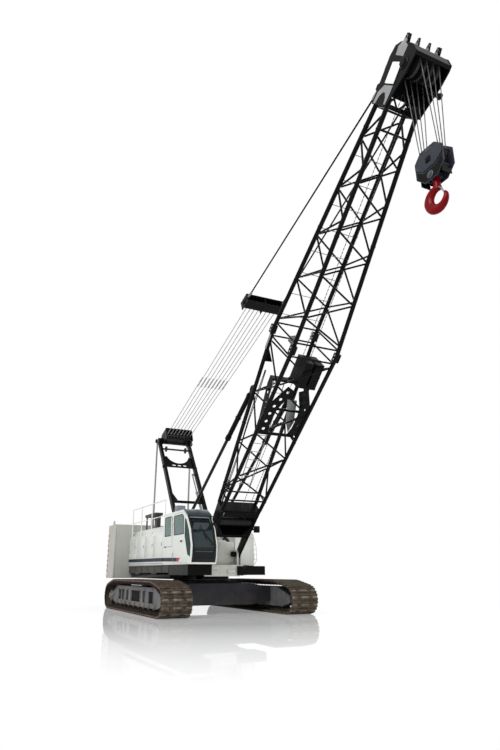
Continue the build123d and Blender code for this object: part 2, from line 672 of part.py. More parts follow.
corners = ((-1, -1), (1, -1), (1, 1), (-1, 1))
foot_arm_top = 1950.0
chord_lean = atan2(splice_half_depth, splice_height)
tip_run = (splice_half_width - lattice_top_half_width, splice_half_depth - lattice_top_half_depth)
tip_lean = atan2(hypot(*tip_run), lattice_top - splice_height)
splice_box, splice_up, splice_down = 75.0, 110.0, 130.0
butt_low = foot_arm_top + chord_radius * sin(chord_lean) + clearance
tip_low = splice_height + splice_up + chord_radius * sin(tip_lean) + clearance
butt_chords = []
tip_chords = []
for corner in corners:
    x, y, z = chord_at(*corner, splice_height)
    chord = tube_between(chord_at(*corner, butt_low), chord_at(*corner, splice_height - 60), chord_radius)
    sides = ((x - splice_box, x + splice_box), (y - splice_box, y + splice_box))
    butt_chords.append(chord + block(*sides, (z - splice_down, z + splice_up)))
    tip_chords.append(tube_between(chord_at(*corner, tip_low), chord_at(*corner, lattice_top), chord_radius))

# Backstop ears on the rear butt chords: a saddle, two ear plates and the pin
backstop_pin_z = splice_height - backstop_pin_drop
backstop_pin_y = chord_at(1, 1, backstop_pin_z)[1] + backstop_pin_out
saddle_face = chord_radius / cos(chord_lean) + clearance
saddle_thick = 22.0


def behind_chord(drop, out):
    """The point (y, z) on a line out mm behind the saddle's face, drop mm below the backstop pin."""
    z = backstop_pin_z - drop
    return (chord_at(1, 1, z)[1] + saddle_face + out, z)


saddle = [behind_chord(170, 0), behind_chord(170, saddle_thick)]
saddle += [behind_chord(-170, saddle_thick), behind_chord(-170, 0)]
ear = [behind_chord(160, saddle_thick + clearance), (backstop_pin_y + 70, backstop_pin_z - 60)]
ear += [(backstop_pin_y + 70, backstop_pin_z + 60), behind_chord(-160, saddle_thick + clearance)]
ears = [side_plate(saddle, backstop_x - 52, backstop_x + 52)]
for x in (backstop_x - 41, backstop_x + 41):
    plate = side_plate(ear, x - 9, x + 9)
    ears.append(plate - cross_shaft(backstop_pin_y, backstop_pin_z, 35, x - 20, x + 20))
ears.append(cross_shaft(backstop_pin_y, backstop_pin_z, 34.95, backstop_x - 60, backstop_x + 60))
backstop_ears = mirrored(ears)


def trimmed_bar(a, b, chord_a, chord_b, radius):
    """A lacing bar from chord point a to chord point b, stopped just clear of both chords."""
    a, b = Vector(*a), Vector(*b)
    along = (b - a).normalized()
    ends = []
    for chord in (chord_a, chord_b):
        slope = abs(along.dot(chord))
        ends.append((chord_radius + 0.5 + radius * slope) / sqrt(1 - slope**2))
    return bar_between(tuple(a + along * ends[0]), tuple(b - along * ends[1]), radius)


def lacing(low, high, bays, front_high):
    """Zigzag bars on four faces between two heights, a strut at each end; the front face stops lower."""
    bars = []
    for number, (one, two) in enumerate(zip(corners, corners[1:] + corners[:1])):
        top = high if number else front_high
        spans = [Vector(*chord_at(*c, top)) - Vector(*chord_at(*c, low)) for c in (one, two)]
        directions = [span.normalized() for span in spans]
        for z in (low, top):
            bars.append(trimmed_bar(chord_at(*one, z), chord_at(*two, z), *directions, lacing_radius))
        step = (top - low - 240) / bays
        for bay in range(bays):
            start, stop = (one, two) if (bay + number) % 2 else (two, one)
            z0, z1 = low + 120 + bay * step, low + 120 + (bay + 1) * step
            order = directions if start is one else directions[::-1]
            bars.append(trimmed_bar(chord_at(*start, z0), chord_at(*stop, z1), *order, lacing_radius))
    return bars


butt_lacing = lacing(foot_arm_top + 400, splice_height - 200, 6, splice_height - 200)
tip_lacing = lacing(splice_height + 190, lattice_top - 200, 9, lattice_top - 670)

# Boom foot: eyes on the pins, and the plated box between the chords
foot_plates = []
for side in (-1, 1):
    x = side * foot_half_width
    half = foot_eye_width / 2
    top = chord_at(side, 1, foot_arm_top)[1] + chord_radius
    cheek = side_plate([(-110, 0), (-top, foot_arm_top), (top, foot_arm_top), (110, 0)], x - half, x + half)
    eye = cheek + cross_shaft(0, 0, foot_eye_radius, x - half, x + half)
    foot_plates.append(eye - cross_shaft(0, 0, foot_pin_radius + 0.05, x - half - 1, x + half + 1))
box_half = foot_half_width - foot_eye_width / 2 - clearance
box_low, box_high, box_front, box_rear = 900.0, foot_arm_top, -215.0, 215.0
between_ends = (box_low + 60 + clearance, box_high - 60 - clearance)
foot_box = [
    block((-box_half, box_half), (box_front, box_rear), (box_low, box_low + 60)),
    block((-box_half, box_half), (box_front, box_rear), (box_high - 60, box_high)),
    block((-box_half + 30 + clearance, box_half - 30 - clearance), (box_rear - 35, box_rear), between_ends),
]
foot_box[2] -= block((-420, 150), (150, 300), (1350, 1650))
foot_box += mirrored([block((box_half - 30, box_half), (box_front, box_rear), between_ends)])
foot_drum_y, foot_drum_z, foot_drum_radius = -40.0, 1400.0, 130.0
foot_drum_half = box_half - 30 - running_gap
foot_drum = cross_shaft(foot_drum_y, foot_drum_z, foot_drum_radius, -foot_drum_half, foot_drum_half)
foot_drum += cross_shaft(foot_drum_y, foot_drum_z, 45, -box_half, box_half)
for number in (-1, -2):
    foot_box[number] -= cross_shaft(foot_drum_y, foot_drum_z, 45.05, -box_half - 1, box_half + 1)

# Mid boom: perforated gusset plates inside the front chords, cross bars, and two long roller boxes on a beam
mid_low, mid_bend, mid_high = splice_height - 2870, splice_height - 2200, splice_height - 1121
mid_inset = 31.0
plate_outer = chord_at(1, 1, mid_low)[0] - sqrt(chord_radius**2 - mid_inset**2) - 0.5
plate_thick = 16.0
bar_half = plate_outer - plate_thick - clearance
low_y, bend_y = chord_at(1, -1, mid_low)[1] + mid_inset, chord_at(1, -1, mid_bend)[1] + mid_inset
mid_outline = [(low_y, mid_low), (bend_y, mid_bend), (-150, mid_high), (50, mid_high)]
mid_outline += [(50, mid_high - 250), (bend_y + 250, mid_bend - 170), (low_y + 170, mid_low)]
# Holes of the gusset plates: (y from the plate's bend, height from the low end, radius)
mid_holes = ((80, 150, 42), (85, 450, 42), (125, 740, 42), (215, 1030, 42), (320, 1310, 42))
mid_plate = side_plate(mid_outline, plate_outer - plate_thick, plate_outer)
for y, z, radius in mid_holes:
    mid_plate -= cross_shaft(bend_y + y, mid_low + z, radius, 0, 800)
mid_plates = mirrored([mid_plate])
for y, z, radius in ((low_y + 75, mid_low + 110, 45), (bend_y + 170, mid_low + 900, 38)):
    mid_plates.append(cross_shaft(y, z, radius, -bar_half, bar_half))
mid_plates.append(block((-bar_half, bar_half), (-150, 50), (mid_high - 70, mid_high)))
roller_boxes = [block((x, x + 250), (-530, 20), (mid_high + clearance, mid_high + 760)) for x in (-30, 290)]

# Boom head: cheeks and middle plates on the sheave shaft, covers, tip lugs and pendant ears
cheek_inner = chord_at(1, 1, lattice_top - 190)[0] + chord_radius / cos(tip_lean) + clearance
cheek_outer = cheek_inner + head_cheek
head_shaft_radius = 55.0
inside_head = (-cheek_inner + clearance, cheek_inner - clearance)
head_top = head_tip - 180
head_front = head_shaft_y - 290
cheek_outline = [
    (300, lattice_top - 190),
    (300, head_shaft_z + 130),
    (230, head_top - 80),
    (60, head_top),
    (-150, head_top),
    (-450, head_top - 45),
    (head_front, head_shaft_z + 270),
    (head_front - 10, head_shaft_z + 150),
    (head_front + 60, head_shaft_z - 170),
    (-300, lattice_top - 190),
]
middle_outline = [
    (204, head_shaft_z - 330),
    (204, head_shaft_z + 319),
    (-200, head_shaft_z + 319),
    (-470, head_shaft_z + 120),
    (-470, head_shaft_z - 140),
    (-250, head_shaft_z - 330),
]
head_plates = [side_plate(cheek_outline, cheek_inner, cheek_outer), side_plate(middle_outline, 365, 385)]
head = []
for plate in mirrored(head_plates):
    head.append(plate - cross_shaft(head_shaft_y, head_shaft_z, head_shaft_radius + 0.05, -800, 800))
head.append(cross_shaft(head_shaft_y, head_shaft_z, head_shaft_radius, -cheek_outer - 40, cheek_outer + 40))
head.append(block(inside_head, (205, 225), (lattice_top + 80, head_shaft_z + 319)))
head.append(block(inside_head, (-130, 40), (head_shaft_z + 320, head_top)))
cover_line = [(-130.3, head_top - 5), (-450, head_top - 52), (head_front + 2, head_shaft_z + 262)]
cover_line.append((head_front - 6, head_shaft_z + 190))
head.append(side_plate(cover_line + [(y + 10, z - 10) for y, z in reversed(cover_line)], *inside_head))
tip_lug_bore, tip_lug_y, tip_lug_z = 30.0, -45.0, head_top + 105
# Tip lugs, all bored on one line: (inner side, outer side, half length of the tip)
tip_lugs = ((395, 419, 42), (446, 470, 42), (130, 170, 22))
for x0, x1, half in tip_lugs:
    outline = [(40, head_top + clearance), (-130, head_top + clearance)]
    outline += [(tip_lug_y - half, head_tip), (tip_lug_y + half, head_tip)]
    lug = side_plate(outline, x0, x1) - cross_shaft(tip_lug_y, tip_lug_z, tip_lug_bore, x0 - 1, x1 + 1)
    head += mirrored([lug])
pendant_x = 408.0
ear = [(226, pendant_pin_z - 160), (226, pendant_pin_z + 160)]
ear += [(425, pendant_pin_z + 50), (425, pendant_pin_z - 50)]
ear = side_plate(ear, 440, cheek_inner - clearance)
ear += cross_shaft(pendant_pin_y, pendant_pin_z, pendant_bore - 0.05, pendant_x - 24, 441)
head += mirrored([ear])


def grooved_sheave(y, z, radius, bore, x, width):
    """A rope sheave centred on x, with a groove as deep as the rope's radius and room for a slanting rope."""
    sheave = cross_ring(y, z, radius, bore, x - width / 2, x + width / 2)
    return sheave - cross_ring(y, z, radius + 5, radius - rope_radius, x - groove_half, x + groove_half)


groove_half = rope_radius + 5
head_wheel = (head_shaft_y, head_shaft_z, head_sheave_radius, head_shaft_radius + 0.05)
head_sheaves = [grooved_sheave(*head_wheel, x, sheave_width) for x in sheaves_x]

# Hook block: two cheeks, a shaft and a trunnion, hanging plumb under the head shaft
_, shaft_y, shaft_z = boom_point(0, head_shaft_y, head_shaft_z)
block_y, block_z = shaft_y, shaft_z - block_shaft_drop
block_shaft_radius = 50.0
block_outline = [(-200, 300), (200, 300), (385, 120), (385, -260), (170, -480)]
block_outline += [(-170, -480), (-385, -260), (-385, 120)]
placed = [(block_y + y, block_z + z) for y, z in block_outline]
cheek = side_plate(placed, block_cheek_inner, block_cheek_inner + block_cheek)
cheek -= cross_shaft(block_y, block_z, block_shaft_radius + 0.05, 0, 400)
hook_block = mirrored([cheek])
block_shaft_half = block_cheek_inner + 45
hook_block.append(cross_shaft(block_y, block_z, block_shaft_radius, -block_shaft_half, block_shaft_half))
trunnion_z = shaft_z - trunnion_drop
trunnion_half = (block_cheek_inner - clearance, 90.0, 55.0)
trunnion = Pos(0, block_y, trunnion_z) * Box(*[2 * half for half in trunnion_half])
hook_block.append(trunnion - Pos(0, block_y, trunnion_z) * Cylinder(shank_radius, 400))
block_wheel = (block_y, block_z, block_sheave_radius, block_shaft_radius + 0.05)
block_sheaves = [grooved_sheave(*block_wheel, x, block_sheave_width) for x in block_sheaves_x]
rope_seat = clearance - rope_radius * (1 - cos(pi / 6))
falls = []
for x_head, x_block in zip(sheaves_x, block_sheaves_x):
    for side in (-1, 1):
        top = (x_head, shaft_y + side * (head_sheave_radius + rope_seat), shaft_z)
        bottom = (x_block, block_y + side * (block_sheave_radius + rope_seat), block_z)
        falls.append(bar_between(bottom, top, rope_radius, 6))

# Hook: a body lofted round its throat from the shank over the back to the tip, with shank, collar and nut
# Sections: (degrees from the top towards the rear, thickness, width)
hook_sections = (
    (-8, 130, 120),
    (25, 170, 135),
    (60, 215, 150),
    (95, 245, 160),
    (135, 225, 158),
    (180, 195, 150),
    (220, 150, 128),
    (252, 110, 100),
    (276, 62, 62),
)
hook_y, hook_z = shaft_y, shaft_z - hook_centre_drop
section_sides = 12
faces = []
for degree, thick, width in hook_sections:
    turn = radians(degree)
    out = (0, sin(turn), cos(turn))
    reach = hook_throat_radius + thick / 2
    centre = (0, hook_y + reach * out[1], hook_z + reach * out[2])
    plane = Plane(centre, x_dir=out, z_dir=(0, cos(turn), -sin(turn)))
    rim = [(2 * pi * k / section_sides) for k in range(section_sides)]
    faces.append(plane * Polygon(*[(thick / 2 * cos(a), width / 2 * sin(a)) for a in rim], align=None))
hook = loft(faces, ruled=True)
shank_low = hook_z + hook_throat_radius + 40
shank_top = trunnion_z + trunnion_half[2] + clearance + 45
hook += Pos(0, hook_y, (shank_low + shank_top) / 2) * Cylinder(shank_radius - 0.05, shank_top - shank_low)
collar_top = trunnion_z - trunnion_half[2] - 5
hook += Pos(0, hook_y, (shank_low + collar_top) / 2) * Cylinder(shank_radius + 20, collar_top - shank_low)
hook += Pos(0, hook_y, shank_top - 22.5) * Cylinder(85, 45)

# Bridle: side plates, a middle plate and two covers over its sheaves, with stub pins for the pendants
def on_bridle(along, up):
    """A point (y, z), along mm past the bridle shaft and up mm above the line of the ropes."""
    return on_hoist_line(line_length + along, up)


bridle_outline = [on_bridle(-190, -150), on_bridle(250, -150), on_bridle(250, 150), on_bridle(-190, 150)]
bridle_shaft_radius = 45.0
bridle = cross_shaft(bridle_y, bridle_z, bridle_shaft_radius, -bridle_half_width - 30, bridle_half_width + 30)
for x in (-bridle_half_width, 0, bridle_half_width):
    bridle += side_plate(bridle_outline, x - 12, x + 12)
for start, low, high in ((-190, 130, 150), (-90, -150, -130)):
    cover = [on_bridle(start, low), on_bridle(250, low), on_bridle(250, high), on_bridle(start, high)]
    bridle += side_plate(cover, -bridle_half_width, bridle_half_width)
pendant_start = on_bridle(200, 0)
bridle_pendant_x = bridle_half_width - 36
stub = cross_shaft(*pendant_start, pendant_bore - 0.05, bridle_pendant_x - 24, bridle_half_width - 11)
for piece in mirrored([stub]):
    bridle += piece
bridle_sheaves = []
for x in hoist_lines_x:
    sides = (x - bridle_sheave_half, x + bridle_sheave_half)
    radii = (bridle_sheave_radius, bridle_shaft_radius + 0.05)
    bridle_sheaves.append(cross_ring(bridle_y, bridle_z, *radii, *sides))
pendant_head = boom_point(0, pendant_pin_y, pendant_pin_z)
pendant = tube_between((bridle_pendant_x, *pendant_start), (pendant_x, *pendant_head[1:]), pendant_radius)
for x, place in ((bridle_pendant_x, pendant_start), (pendant_x, pendant_head[1:])):
    pendant += cross_shaft(*place, pendant_eye, x - 18, x + 18)
for x, place in ((bridle_pendant_x, pendant_start), (pendant_x, pendant_head[1:])):
    pendant -= cross_shaft(*place, pendant_bore + 0.04, x - 60, x + 60)
pendants = mirrored([pendant])
ropes_low, ropes_high = [], []
rope_low_start = bail_sheave_along + hoist_sheave_radius + clearance
rope_low_end = 205 + hoist_rope_length
for x in hoist_lines_x:
    start, stop = on_hoist_line(rope_low_start), on_hoist_line(rope_low_end)
    ropes_low.append(bar_between((x, *start), (x, *stop), hoist_rope_radius, 6))
    start, stop = on_bridle(-155 - hoist_rope_length, 0), on_bridle(-100, 0)
    x += hoist_rope_pair
    ropes_high.append(bar_between((x, *start), (x, *stop), hoist_rope_radius, 6))

# Backstops: a tube pinned to the boom, and a rod with its open eye at the spine plates
backstop_eye_y, backstop_eye_z = boom_point(0, backstop_pin_y, backstop_pin_z)[1:]
backstop_length = hypot(backstop_foot_y - backstop_eye_y, backstop_eye_z - backstop_foot_z)
stop_y = (backstop_foot_y - backstop_eye_y) / backstop_length
stop_z = (backstop_foot_z - backstop_eye_z) / backstop_length


def on_backstop(along):
    """The point (y, z) of the backstop's axis, along mm down from its boom pin."""
    return (backstop_eye_y + stop_y * along, backstop_eye_z + stop_z * along)


backstop_tubes, backstop_rods = [], []
gland_length = 120.0
for side in (-1, 1):
    x = side * backstop_x
    gland = backstop_tube_length - gland_length
    tube_end = (x, *on_backstop(backstop_tube_length))
    outer = tube_between((x, *on_backstop(210)), tube_end, backstop_tube_radius)
    outer += tube_between((x, *on_backstop(gland)), tube_end, backstop_tube_radius + 14)
    outer += box_between((x, *on_backstop(0)), (x, *on_backstop(230)), 50, 110)
    outer += cross_shaft(*on_backstop(0), 60, x - 25, x + 25)
    outer -= tube_between((x, *on_backstop(300)), (x, *on_backstop(gland)), backstop_bore_radius)
    bore_ends = [(x, *on_backstop(gland + step)) for step in (-1, 200)]
    outer -= tube_between(*bore_ends, backstop_rod_radius + 0.05)
    outer -= cross_shaft(*on_backstop(0), 35, x - 60, x + 60)
    backstop_tubes.append(outer)
    rod_ends = [(x, *on_backstop(reach)) for reach in (backstop_rod_start, backstop_length - 60)]
    rod = tube_between(*rod_ends, backstop_rod_radius)
    rod += cross_shaft(*on_backstop(backstop_length), 85, x - 30, x + 30)
    rod -= cross_shaft(*on_backstop(backstop_length), 36, x - 60, x + 60)
    backstop_rods.append(rod)

# Writing
os.makedirs("parts", exist_ok=True)
write("carbody", [carbody])
write("cross_beams", cross_beams)
write("slewing_ring", [lower_ring])
for side, place in (("right", on_right), ("left", on_left)):
    write(f"track_frame_{side}", [place(frame_shape)])
    write(f"track_{side}", [place(track)])
    write(f"track_rollers_{side}", [place(roller) for roller in bottom_rollers])
sprocket = Pos(0, end_wheel_y, end_wheel_z) * end_wheel(9)
idler = Pos(0, -end_wheel_y, end_wheel_z) * end_wheel(0)
write("drive_sprockets", [on_right(sprocket), on_left(sprocket)])
write("idler_wheels", [on_right(idler), on_left(idler)])
write("rotating_bed", [bed])
write("spine_plates", upright_plates)
write("boom_foot_pins", foot_pins)
write("machinery_house_right", [house_right])
write("machinery_house_left", [house_left])
write("engine_block", [engine])
write("counterweight_lower", [weight_lower])
write("counterweight_upper", [weight_upper])
write("counterweight_lugs", weight_lugs)
write("cab_shell", shell_panels)
write("cab_door", [door])
write("cab_door_glass", [door_glass])
write("cab_glass", panes)
write("cab_base", [cab_base])
write("operator_seat", [seat, console])
write("gantry_frame", gantry_frame)
write("gantry_rear_links", rear_links)
write("hoist_bail", hoist_bail)
write("gantry_sheaves", gantry_sheaves)
for name, piece in drums.items():
    write(f"{name}_drum", [piece])
write("roof_railing", railing)
write("front_step_deck", [deck_box])
write("butt_chords", [tilt_boom(piece) for piece in butt_chords])
write("butt_lacing", [tilt_boom(piece) for piece in butt_lacing])
write("tip_chords", [tilt_boom(piece) for piece in tip_chords])
write("tip_lacing", [tilt_boom(piece) for piece in tip_lacing])
write("boom_foot_arms", [tilt_boom(piece) for piece in foot_plates])
write("boom_foot_box", [tilt_boom(piece) for piece in foot_box])
write("boom_foot_drum", [tilt_boom(foot_drum)])
write("mid_boom_gussets", [tilt_boom(piece) for piece in mid_plates])
write("rope_roller_boxes", [tilt_boom(piece) for piece in roller_boxes])
write("boom_head", [tilt_boom(piece) for piece in head])
write("backstop_ears", [tilt_boom(piece) for piece in backstop_ears])
write("head_sheaves", [tilt_boom(piece) for piece in head_sheaves])
write("hook_block", hook_block)
write("block_sheaves", block_sheaves)
write("hoist_falls", falls)
write("hook", [hook])
write("bridle", [bridle])
write("bridle_sheaves", bridle_sheaves)
write("boom_pendants", pendants)
write("hoist_ropes_gantry", ropes_low)
write("hoist_ropes_bridle", ropes_high)
write("backstop_tubes", backstop_tubes)
write("backstop_rods", backstop_rods)
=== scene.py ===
import json
import math
import bmesh
import bpy
import numpy as np
from mathutils import Matrix


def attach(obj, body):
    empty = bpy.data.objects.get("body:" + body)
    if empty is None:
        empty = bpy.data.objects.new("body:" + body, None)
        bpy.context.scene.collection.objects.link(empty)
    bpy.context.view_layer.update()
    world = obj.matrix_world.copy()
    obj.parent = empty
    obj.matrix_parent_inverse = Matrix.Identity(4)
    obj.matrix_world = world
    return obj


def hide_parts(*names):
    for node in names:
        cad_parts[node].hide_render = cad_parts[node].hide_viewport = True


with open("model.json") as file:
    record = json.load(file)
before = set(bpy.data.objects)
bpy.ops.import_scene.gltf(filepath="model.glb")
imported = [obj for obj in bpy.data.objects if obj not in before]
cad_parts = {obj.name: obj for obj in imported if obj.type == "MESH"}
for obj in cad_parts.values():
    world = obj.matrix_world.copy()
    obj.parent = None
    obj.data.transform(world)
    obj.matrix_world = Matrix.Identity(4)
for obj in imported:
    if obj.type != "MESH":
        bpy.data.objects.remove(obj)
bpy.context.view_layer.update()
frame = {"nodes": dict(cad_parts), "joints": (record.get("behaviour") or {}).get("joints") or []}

# Camera: 1.2 m above the ground and about 17 m in front of the cab, looking up along the boom. Its place,
# turn and field of view are fitted to the photograph's frame of 500 by 750.
picture_tall, focal_pixels, sensor = 750.0, 571.24, 36.0
camera_data = bpy.data.cameras.new("camera")
camera = bpy.data.objects.new("camera", camera_data)
camera.location = (-7.916, -15.492, 1.228)
camera.rotation_euler = (math.radians(90 + 18.9), 0.0, math.radians(-25.2))
camera_data.lens = focal_pixels * sensor / picture_tall
camera_data.sensor_width = sensor
camera_data.shift_x = 19.24 / picture_tall
camera_data.shift_y = 1.54 / picture_tall
camera_data.clip_end = 400.0
bpy.context.scene.collection.objects.link(camera)
bpy.context.scene.camera = camera
bpy.context.scene.view_settings.view_transform = "Standard"

# Studio: a white polished floor that mirrors the tracks softly, a white surround, a broad key light, a
# weaker fill from the other side and a rim light from behind


def linear(red, green, blue):
    """The linear colour of display values from 0 to 255: the usual power curve, by channels."""
    value = np.array([red, green, blue]) / 255.0
    curve = np.where(value > 0.04045, ((value + 0.055) / 1.055) ** 2.4, value / 12.92)
    return (*curve.tolist(), 1.0)


def put(tree, kind, place, **settings):
    """A new node at a place in the tree, with its settings."""
    node = tree.nodes.new(kind)
    node.location = place
    for name, value in settings.items():
        setattr(node, name, value)
    return node


def fill(node, values):
    """Sets a node's inputs by label."""
    for label, value in values.items():
        node.inputs[label].default_value = value


def seen_or_mirrored(tree):
    """A mask that is 1 for camera, glossy and transmission rays."""
    path = put(tree, "ShaderNodeLightPath", (-900, 300))
    first = put(tree, "ShaderNodeMath", (-700, 300), operation="MAXIMUM")
    second = put(tree, "ShaderNodeMath", (-500, 300), operation="MAXIMUM")
    tree.links.new(path.outputs["Is Camera Ray"], first.inputs[0])
    tree.links.new(path.outputs["Is Glossy Ray"], first.inputs[1])
    tree.links.new(first.outputs[0], second.inputs[0])
    tree.links.new(path.outputs["Is Transmission Ray"], second.inputs[1])
    return second.outputs[0]


surround = bpy.data.worlds.new("white_surround")
surround.use_nodes = True
tree = surround.node_tree
tree.nodes.clear()
seen = put(tree, "ShaderNodeBackground", (-200, 100))
seen.inputs["Color"].default_value = (1.0, 1.0, 1.0, 1.0)
lit = put(tree, "ShaderNodeBackground", (-200, -100))
fill(lit, {"Color": (0.96, 0.98, 1.0, 1.0), "Strength": 0.7})
chosen = put(tree, "ShaderNodeMixShader", (0, 0))
world_out = put(tree, "ShaderNodeOutputWorld", (200, 0))
tree.links.new(seen_or_mirrored(tree), chosen.inputs[0])
tree.links.new(lit.outputs[0], chosen.inputs[1])
tree.links.new(seen.outputs[0], chosen.inputs[2])
tree.links.new(chosen.outputs[0], world_out.inputs["Surface"])
bpy.context.scene.world = surround

floor_half = 90.0
floor_mesh = bpy.data.meshes.new("studio_floor")
floor_corners = [(-floor_half, -floor_half, 0), (floor_half, -floor_half, 0)]
floor_corners += [(floor_half, floor_half, 0), (-floor_half, floor_half, 0)]
floor_mesh.from_pydata(floor_corners, [], [(0, 1, 2, 3)])
floor = bpy.data.objects.new("studio_floor", floor_mesh)
bpy.context.scene.collection.objects.link(floor)
polish = bpy.data.materials.new("polished_floor")
polish.use_nodes = True
tree = polish.node_tree
surface = tree.nodes["Principled BSDF"]
fill(surface, {"Base Color": (0.9, 0.9, 0.9, 1.0), "Roughness": 0.9, "Specular IOR Level": 0.0})
glow = put(tree, "ShaderNodeEmission", (0, -300))
fill(glow, {"Color": (1.0, 1.0, 1.0, 1.0), "Strength": 1.0})
mirror = put(tree, "ShaderNodeBsdfGlossy", (0, -500))
fill(mirror, {"Color": (1.0, 1.0, 1.0, 1.0), "Roughness": 0.025})
spot = put(tree, "ShaderNodeTexCoord", (-1100, 600))
far = put(tree, "ShaderNodeVectorMath", (-700, 600), operation="DISTANCE")
far.inputs[1].default_value = (0.0, 3.67, 0.0)
tree.links.new(spot.outputs["Object"], far.inputs[0])
fade = put(tree, "ShaderNodeMapRange", (-500, 600))
fade.interpolation_type = "SMOOTHSTEP"
fill(fade, {"From Min": 6.0, "From Max": 18.0, "To Min": 0.62, "To Max": 1.0})
tree.links.new(far.outputs["Value"], fade.inputs["Value"])
share = put(tree, "ShaderNodeMath", (-200, 300), operation="MULTIPLY")
tree.links.new(fade.outputs["Result"], share.inputs[1])
both = put(tree, "ShaderNodeMixShader", (300, 0))
tree.links.new(seen_or_mirrored(tree), share.inputs[0])
tree.links.new(share.outputs[0], both.inputs[0])
tree.links.new(surface.outputs[0], both.inputs[1])
tree.links.new(glow.outputs[0], both.inputs[2])
gleam = put(tree, "ShaderNodeMixShader", (500, 0))
shine = put(tree, "ShaderNodeMapRange", (-500, 900))
fill(shine, {"From Min": 5.5, "From Max": 13.8, "To Min": 0.62, "To Max": 0.0})
tree.links.new(far.outputs["Value"], shine.inputs["Value"])
tree.links.new(shine.outputs["Result"], gleam.inputs[0])
tree.links.new(both.outputs[0], gleam.inputs[1])
tree.links.new(mirror.outputs[0], gleam.inputs[2])
tree.links.new(gleam.outputs[0], tree.nodes["Material Output"].inputs["Surface"])
floor_mesh.materials.append(polish)


def lamp(name, place, target, size, power):
    """A square area lamp at a place, turned to its target."""
    data = bpy.data.lights.new(name, "AREA")
    data.size = size
    data.energy = power
    light = bpy.data.objects.new(name, data)
    back = np.subtract(place, target)
    back = back / np.linalg.norm(back)
    right = np.cross((0, 0, 1), back)
    right = right / np.linalg.norm(right)
    turned = Matrix([right, np.cross(back, right), back]).transposed().to_4x4()
    light.matrix_world = Matrix.Translation(place) @ turned
    bpy.context.scene.collection.objects.link(light)


lamp("key_light", (-19.0, -13.0, 21.0), (0.0, 0.0, 3.0), 12.0, 5600.0)
lamp("fill_light", (17.0, -16.0, 12.0), (0.0, 0.0, 3.5), 14.0, 1500.0)
lamp("rim_light", (9.0, 18.0, 18.0), (0.0, 0.0, 4.0), 12.0, 1800.0)

# Carbody and cross beams: welded box of thick plate between the crawlers, painted dark slate, dusty near the
# ground, with bolts round the slewing ring and at the beams' pads. The weather effect of all painted pieces
# and the helpers for shapes come here first.


def effect(name, inputs, outputs):
    """An empty shader node group with named inputs (label, socket kind, value) and outputs."""
    made = bpy.data.node_groups.new(name, "ShaderNodeTree")
    for label, kind, value in inputs:
        made.interface.new_socket(name=label, in_out="INPUT", socket_type=kind).default_value = value
    for label, kind in outputs:
        made.interface.new_socket(name=label, in_out="OUTPUT", socket_type=kind)
    return made, put(made, "NodeGroupInput", (-1400, 0)), put(made, "NodeGroupOutput", (900, 0))


FLOAT, COLOR = "NodeSocketFloat", "NodeSocketColor"
weather, given, result = effect(
    "site_weather",
    [
        ("Paint", COLOR, (0.8, 0.8, 0.8, 1.0)),
        ("Worn", COLOR, (0.3, 0.3, 0.3, 1.0)),
        ("Dust", COLOR, (0.45, 0.38, 0.3, 1.0)),
        ("Gloss Loss", FLOAT, 0.3),
        ("Dust Top", FLOAT, 1.2),
        ("Dust Amount", FLOAT, 0.5),
        ("Edge Wear", FLOAT, 0.4),
        ("Mottle", FLOAT, 0.1),
        ("Scale", FLOAT, 3.0),
    ],
    [("Color", COLOR), ("Roughness", FLOAT), ("Height", FLOAT)],
)


def noise(tree, vector, scale, detail, place):
    """A noise texture on a vector; scale is a number or a socket."""
    made = put(tree, "ShaderNodeTexNoise", place)
    made.inputs["Detail"].default_value = detail
    tree.links.new(vector, made.inputs["Vector"])
    if isinstance(scale, float):
        made.inputs["Scale"].default_value = scale
    else:
        tree.links.new(scale, made.inputs["Scale"])
    return made.outputs["Fac"]


def ramped(tree, value, low, high, place, low_out=0.0, high_out=1.0):
    """Maps a value from low to high onto low_out to high_out, held at the ends."""
    made = put(tree, "ShaderNodeMapRange", place)
    tree.links.new(value, made.inputs["Value"])
    made.inputs["To Min"].default_value = low_out
    made.inputs["To Max"].default_value = high_out
    for label, limit in (("From Min", low), ("From Max", high)):
        if isinstance(limit, float):
            made.inputs[label].default_value = limit
        else:
            tree.links.new(limit, made.inputs[label])
    return made.outputs["Result"]


def maths(tree, operation, first, second, place):
    """One arithmetic step on two sockets or numbers."""
    made = put(tree, "ShaderNodeMath", place, operation=operation)
    for slot_number, value in enumerate((first, second)):
        if isinstance(value, float):
            made.inputs[slot_number].default_value = value
        else:
            tree.links.new(value, made.inputs[slot_number])
    return made.outputs[0]


def blended(tree, amount, first, second, place, kind="MIX"):
    """Two colours mixed by an amount; each is a socket or a colour."""
    made = put(tree, "ShaderNodeMix", place, data_type="RGBA", blend_type=kind)
    for slot_number, value in ((0, amount), (6, first), (7, second)):
        if isinstance(value, (float, tuple)):
            made.inputs[slot_number].default_value = value
        else:
            tree.links.new(value, made.inputs[slot_number])
    return made.outputs[2]


place = put(weather, "ShaderNodeTexCoord", (-1400, 400)).outputs["Object"]
cloud = noise(weather, place, given.outputs["Scale"], 5.0, (-1100, 500))
fine = noise(weather, place, 42.0, 8.0, (-1100, 250))
stretch = put(weather, "ShaderNodeMapping", (-1250, -300))
stretch.inputs["Scale"].default_value = (9.0, 9.0, 0.7)
weather.links.new(place, stretch.inputs["Vector"])
streak = noise(weather, stretch.outputs[0], 1.0, 6.0, (-1050, -300))
mottle = maths(weather, "MULTIPLY", ramped(weather, cloud, 0.3, 0.7, (-900, 500)), given.outputs["Mottle"],
               (-700, 500))
run_down = maths(weather, "MULTIPLY", ramped(weather, streak, 0.55, 0.75, (-850, -300)),
                 given.outputs["Mottle"], (-650, -300))
shade = maths(weather, "ADD", mottle, run_down, (-500, 300))
body_color = blended(weather, shade, given.outputs["Paint"], given.outputs["Worn"], (-350, 400))
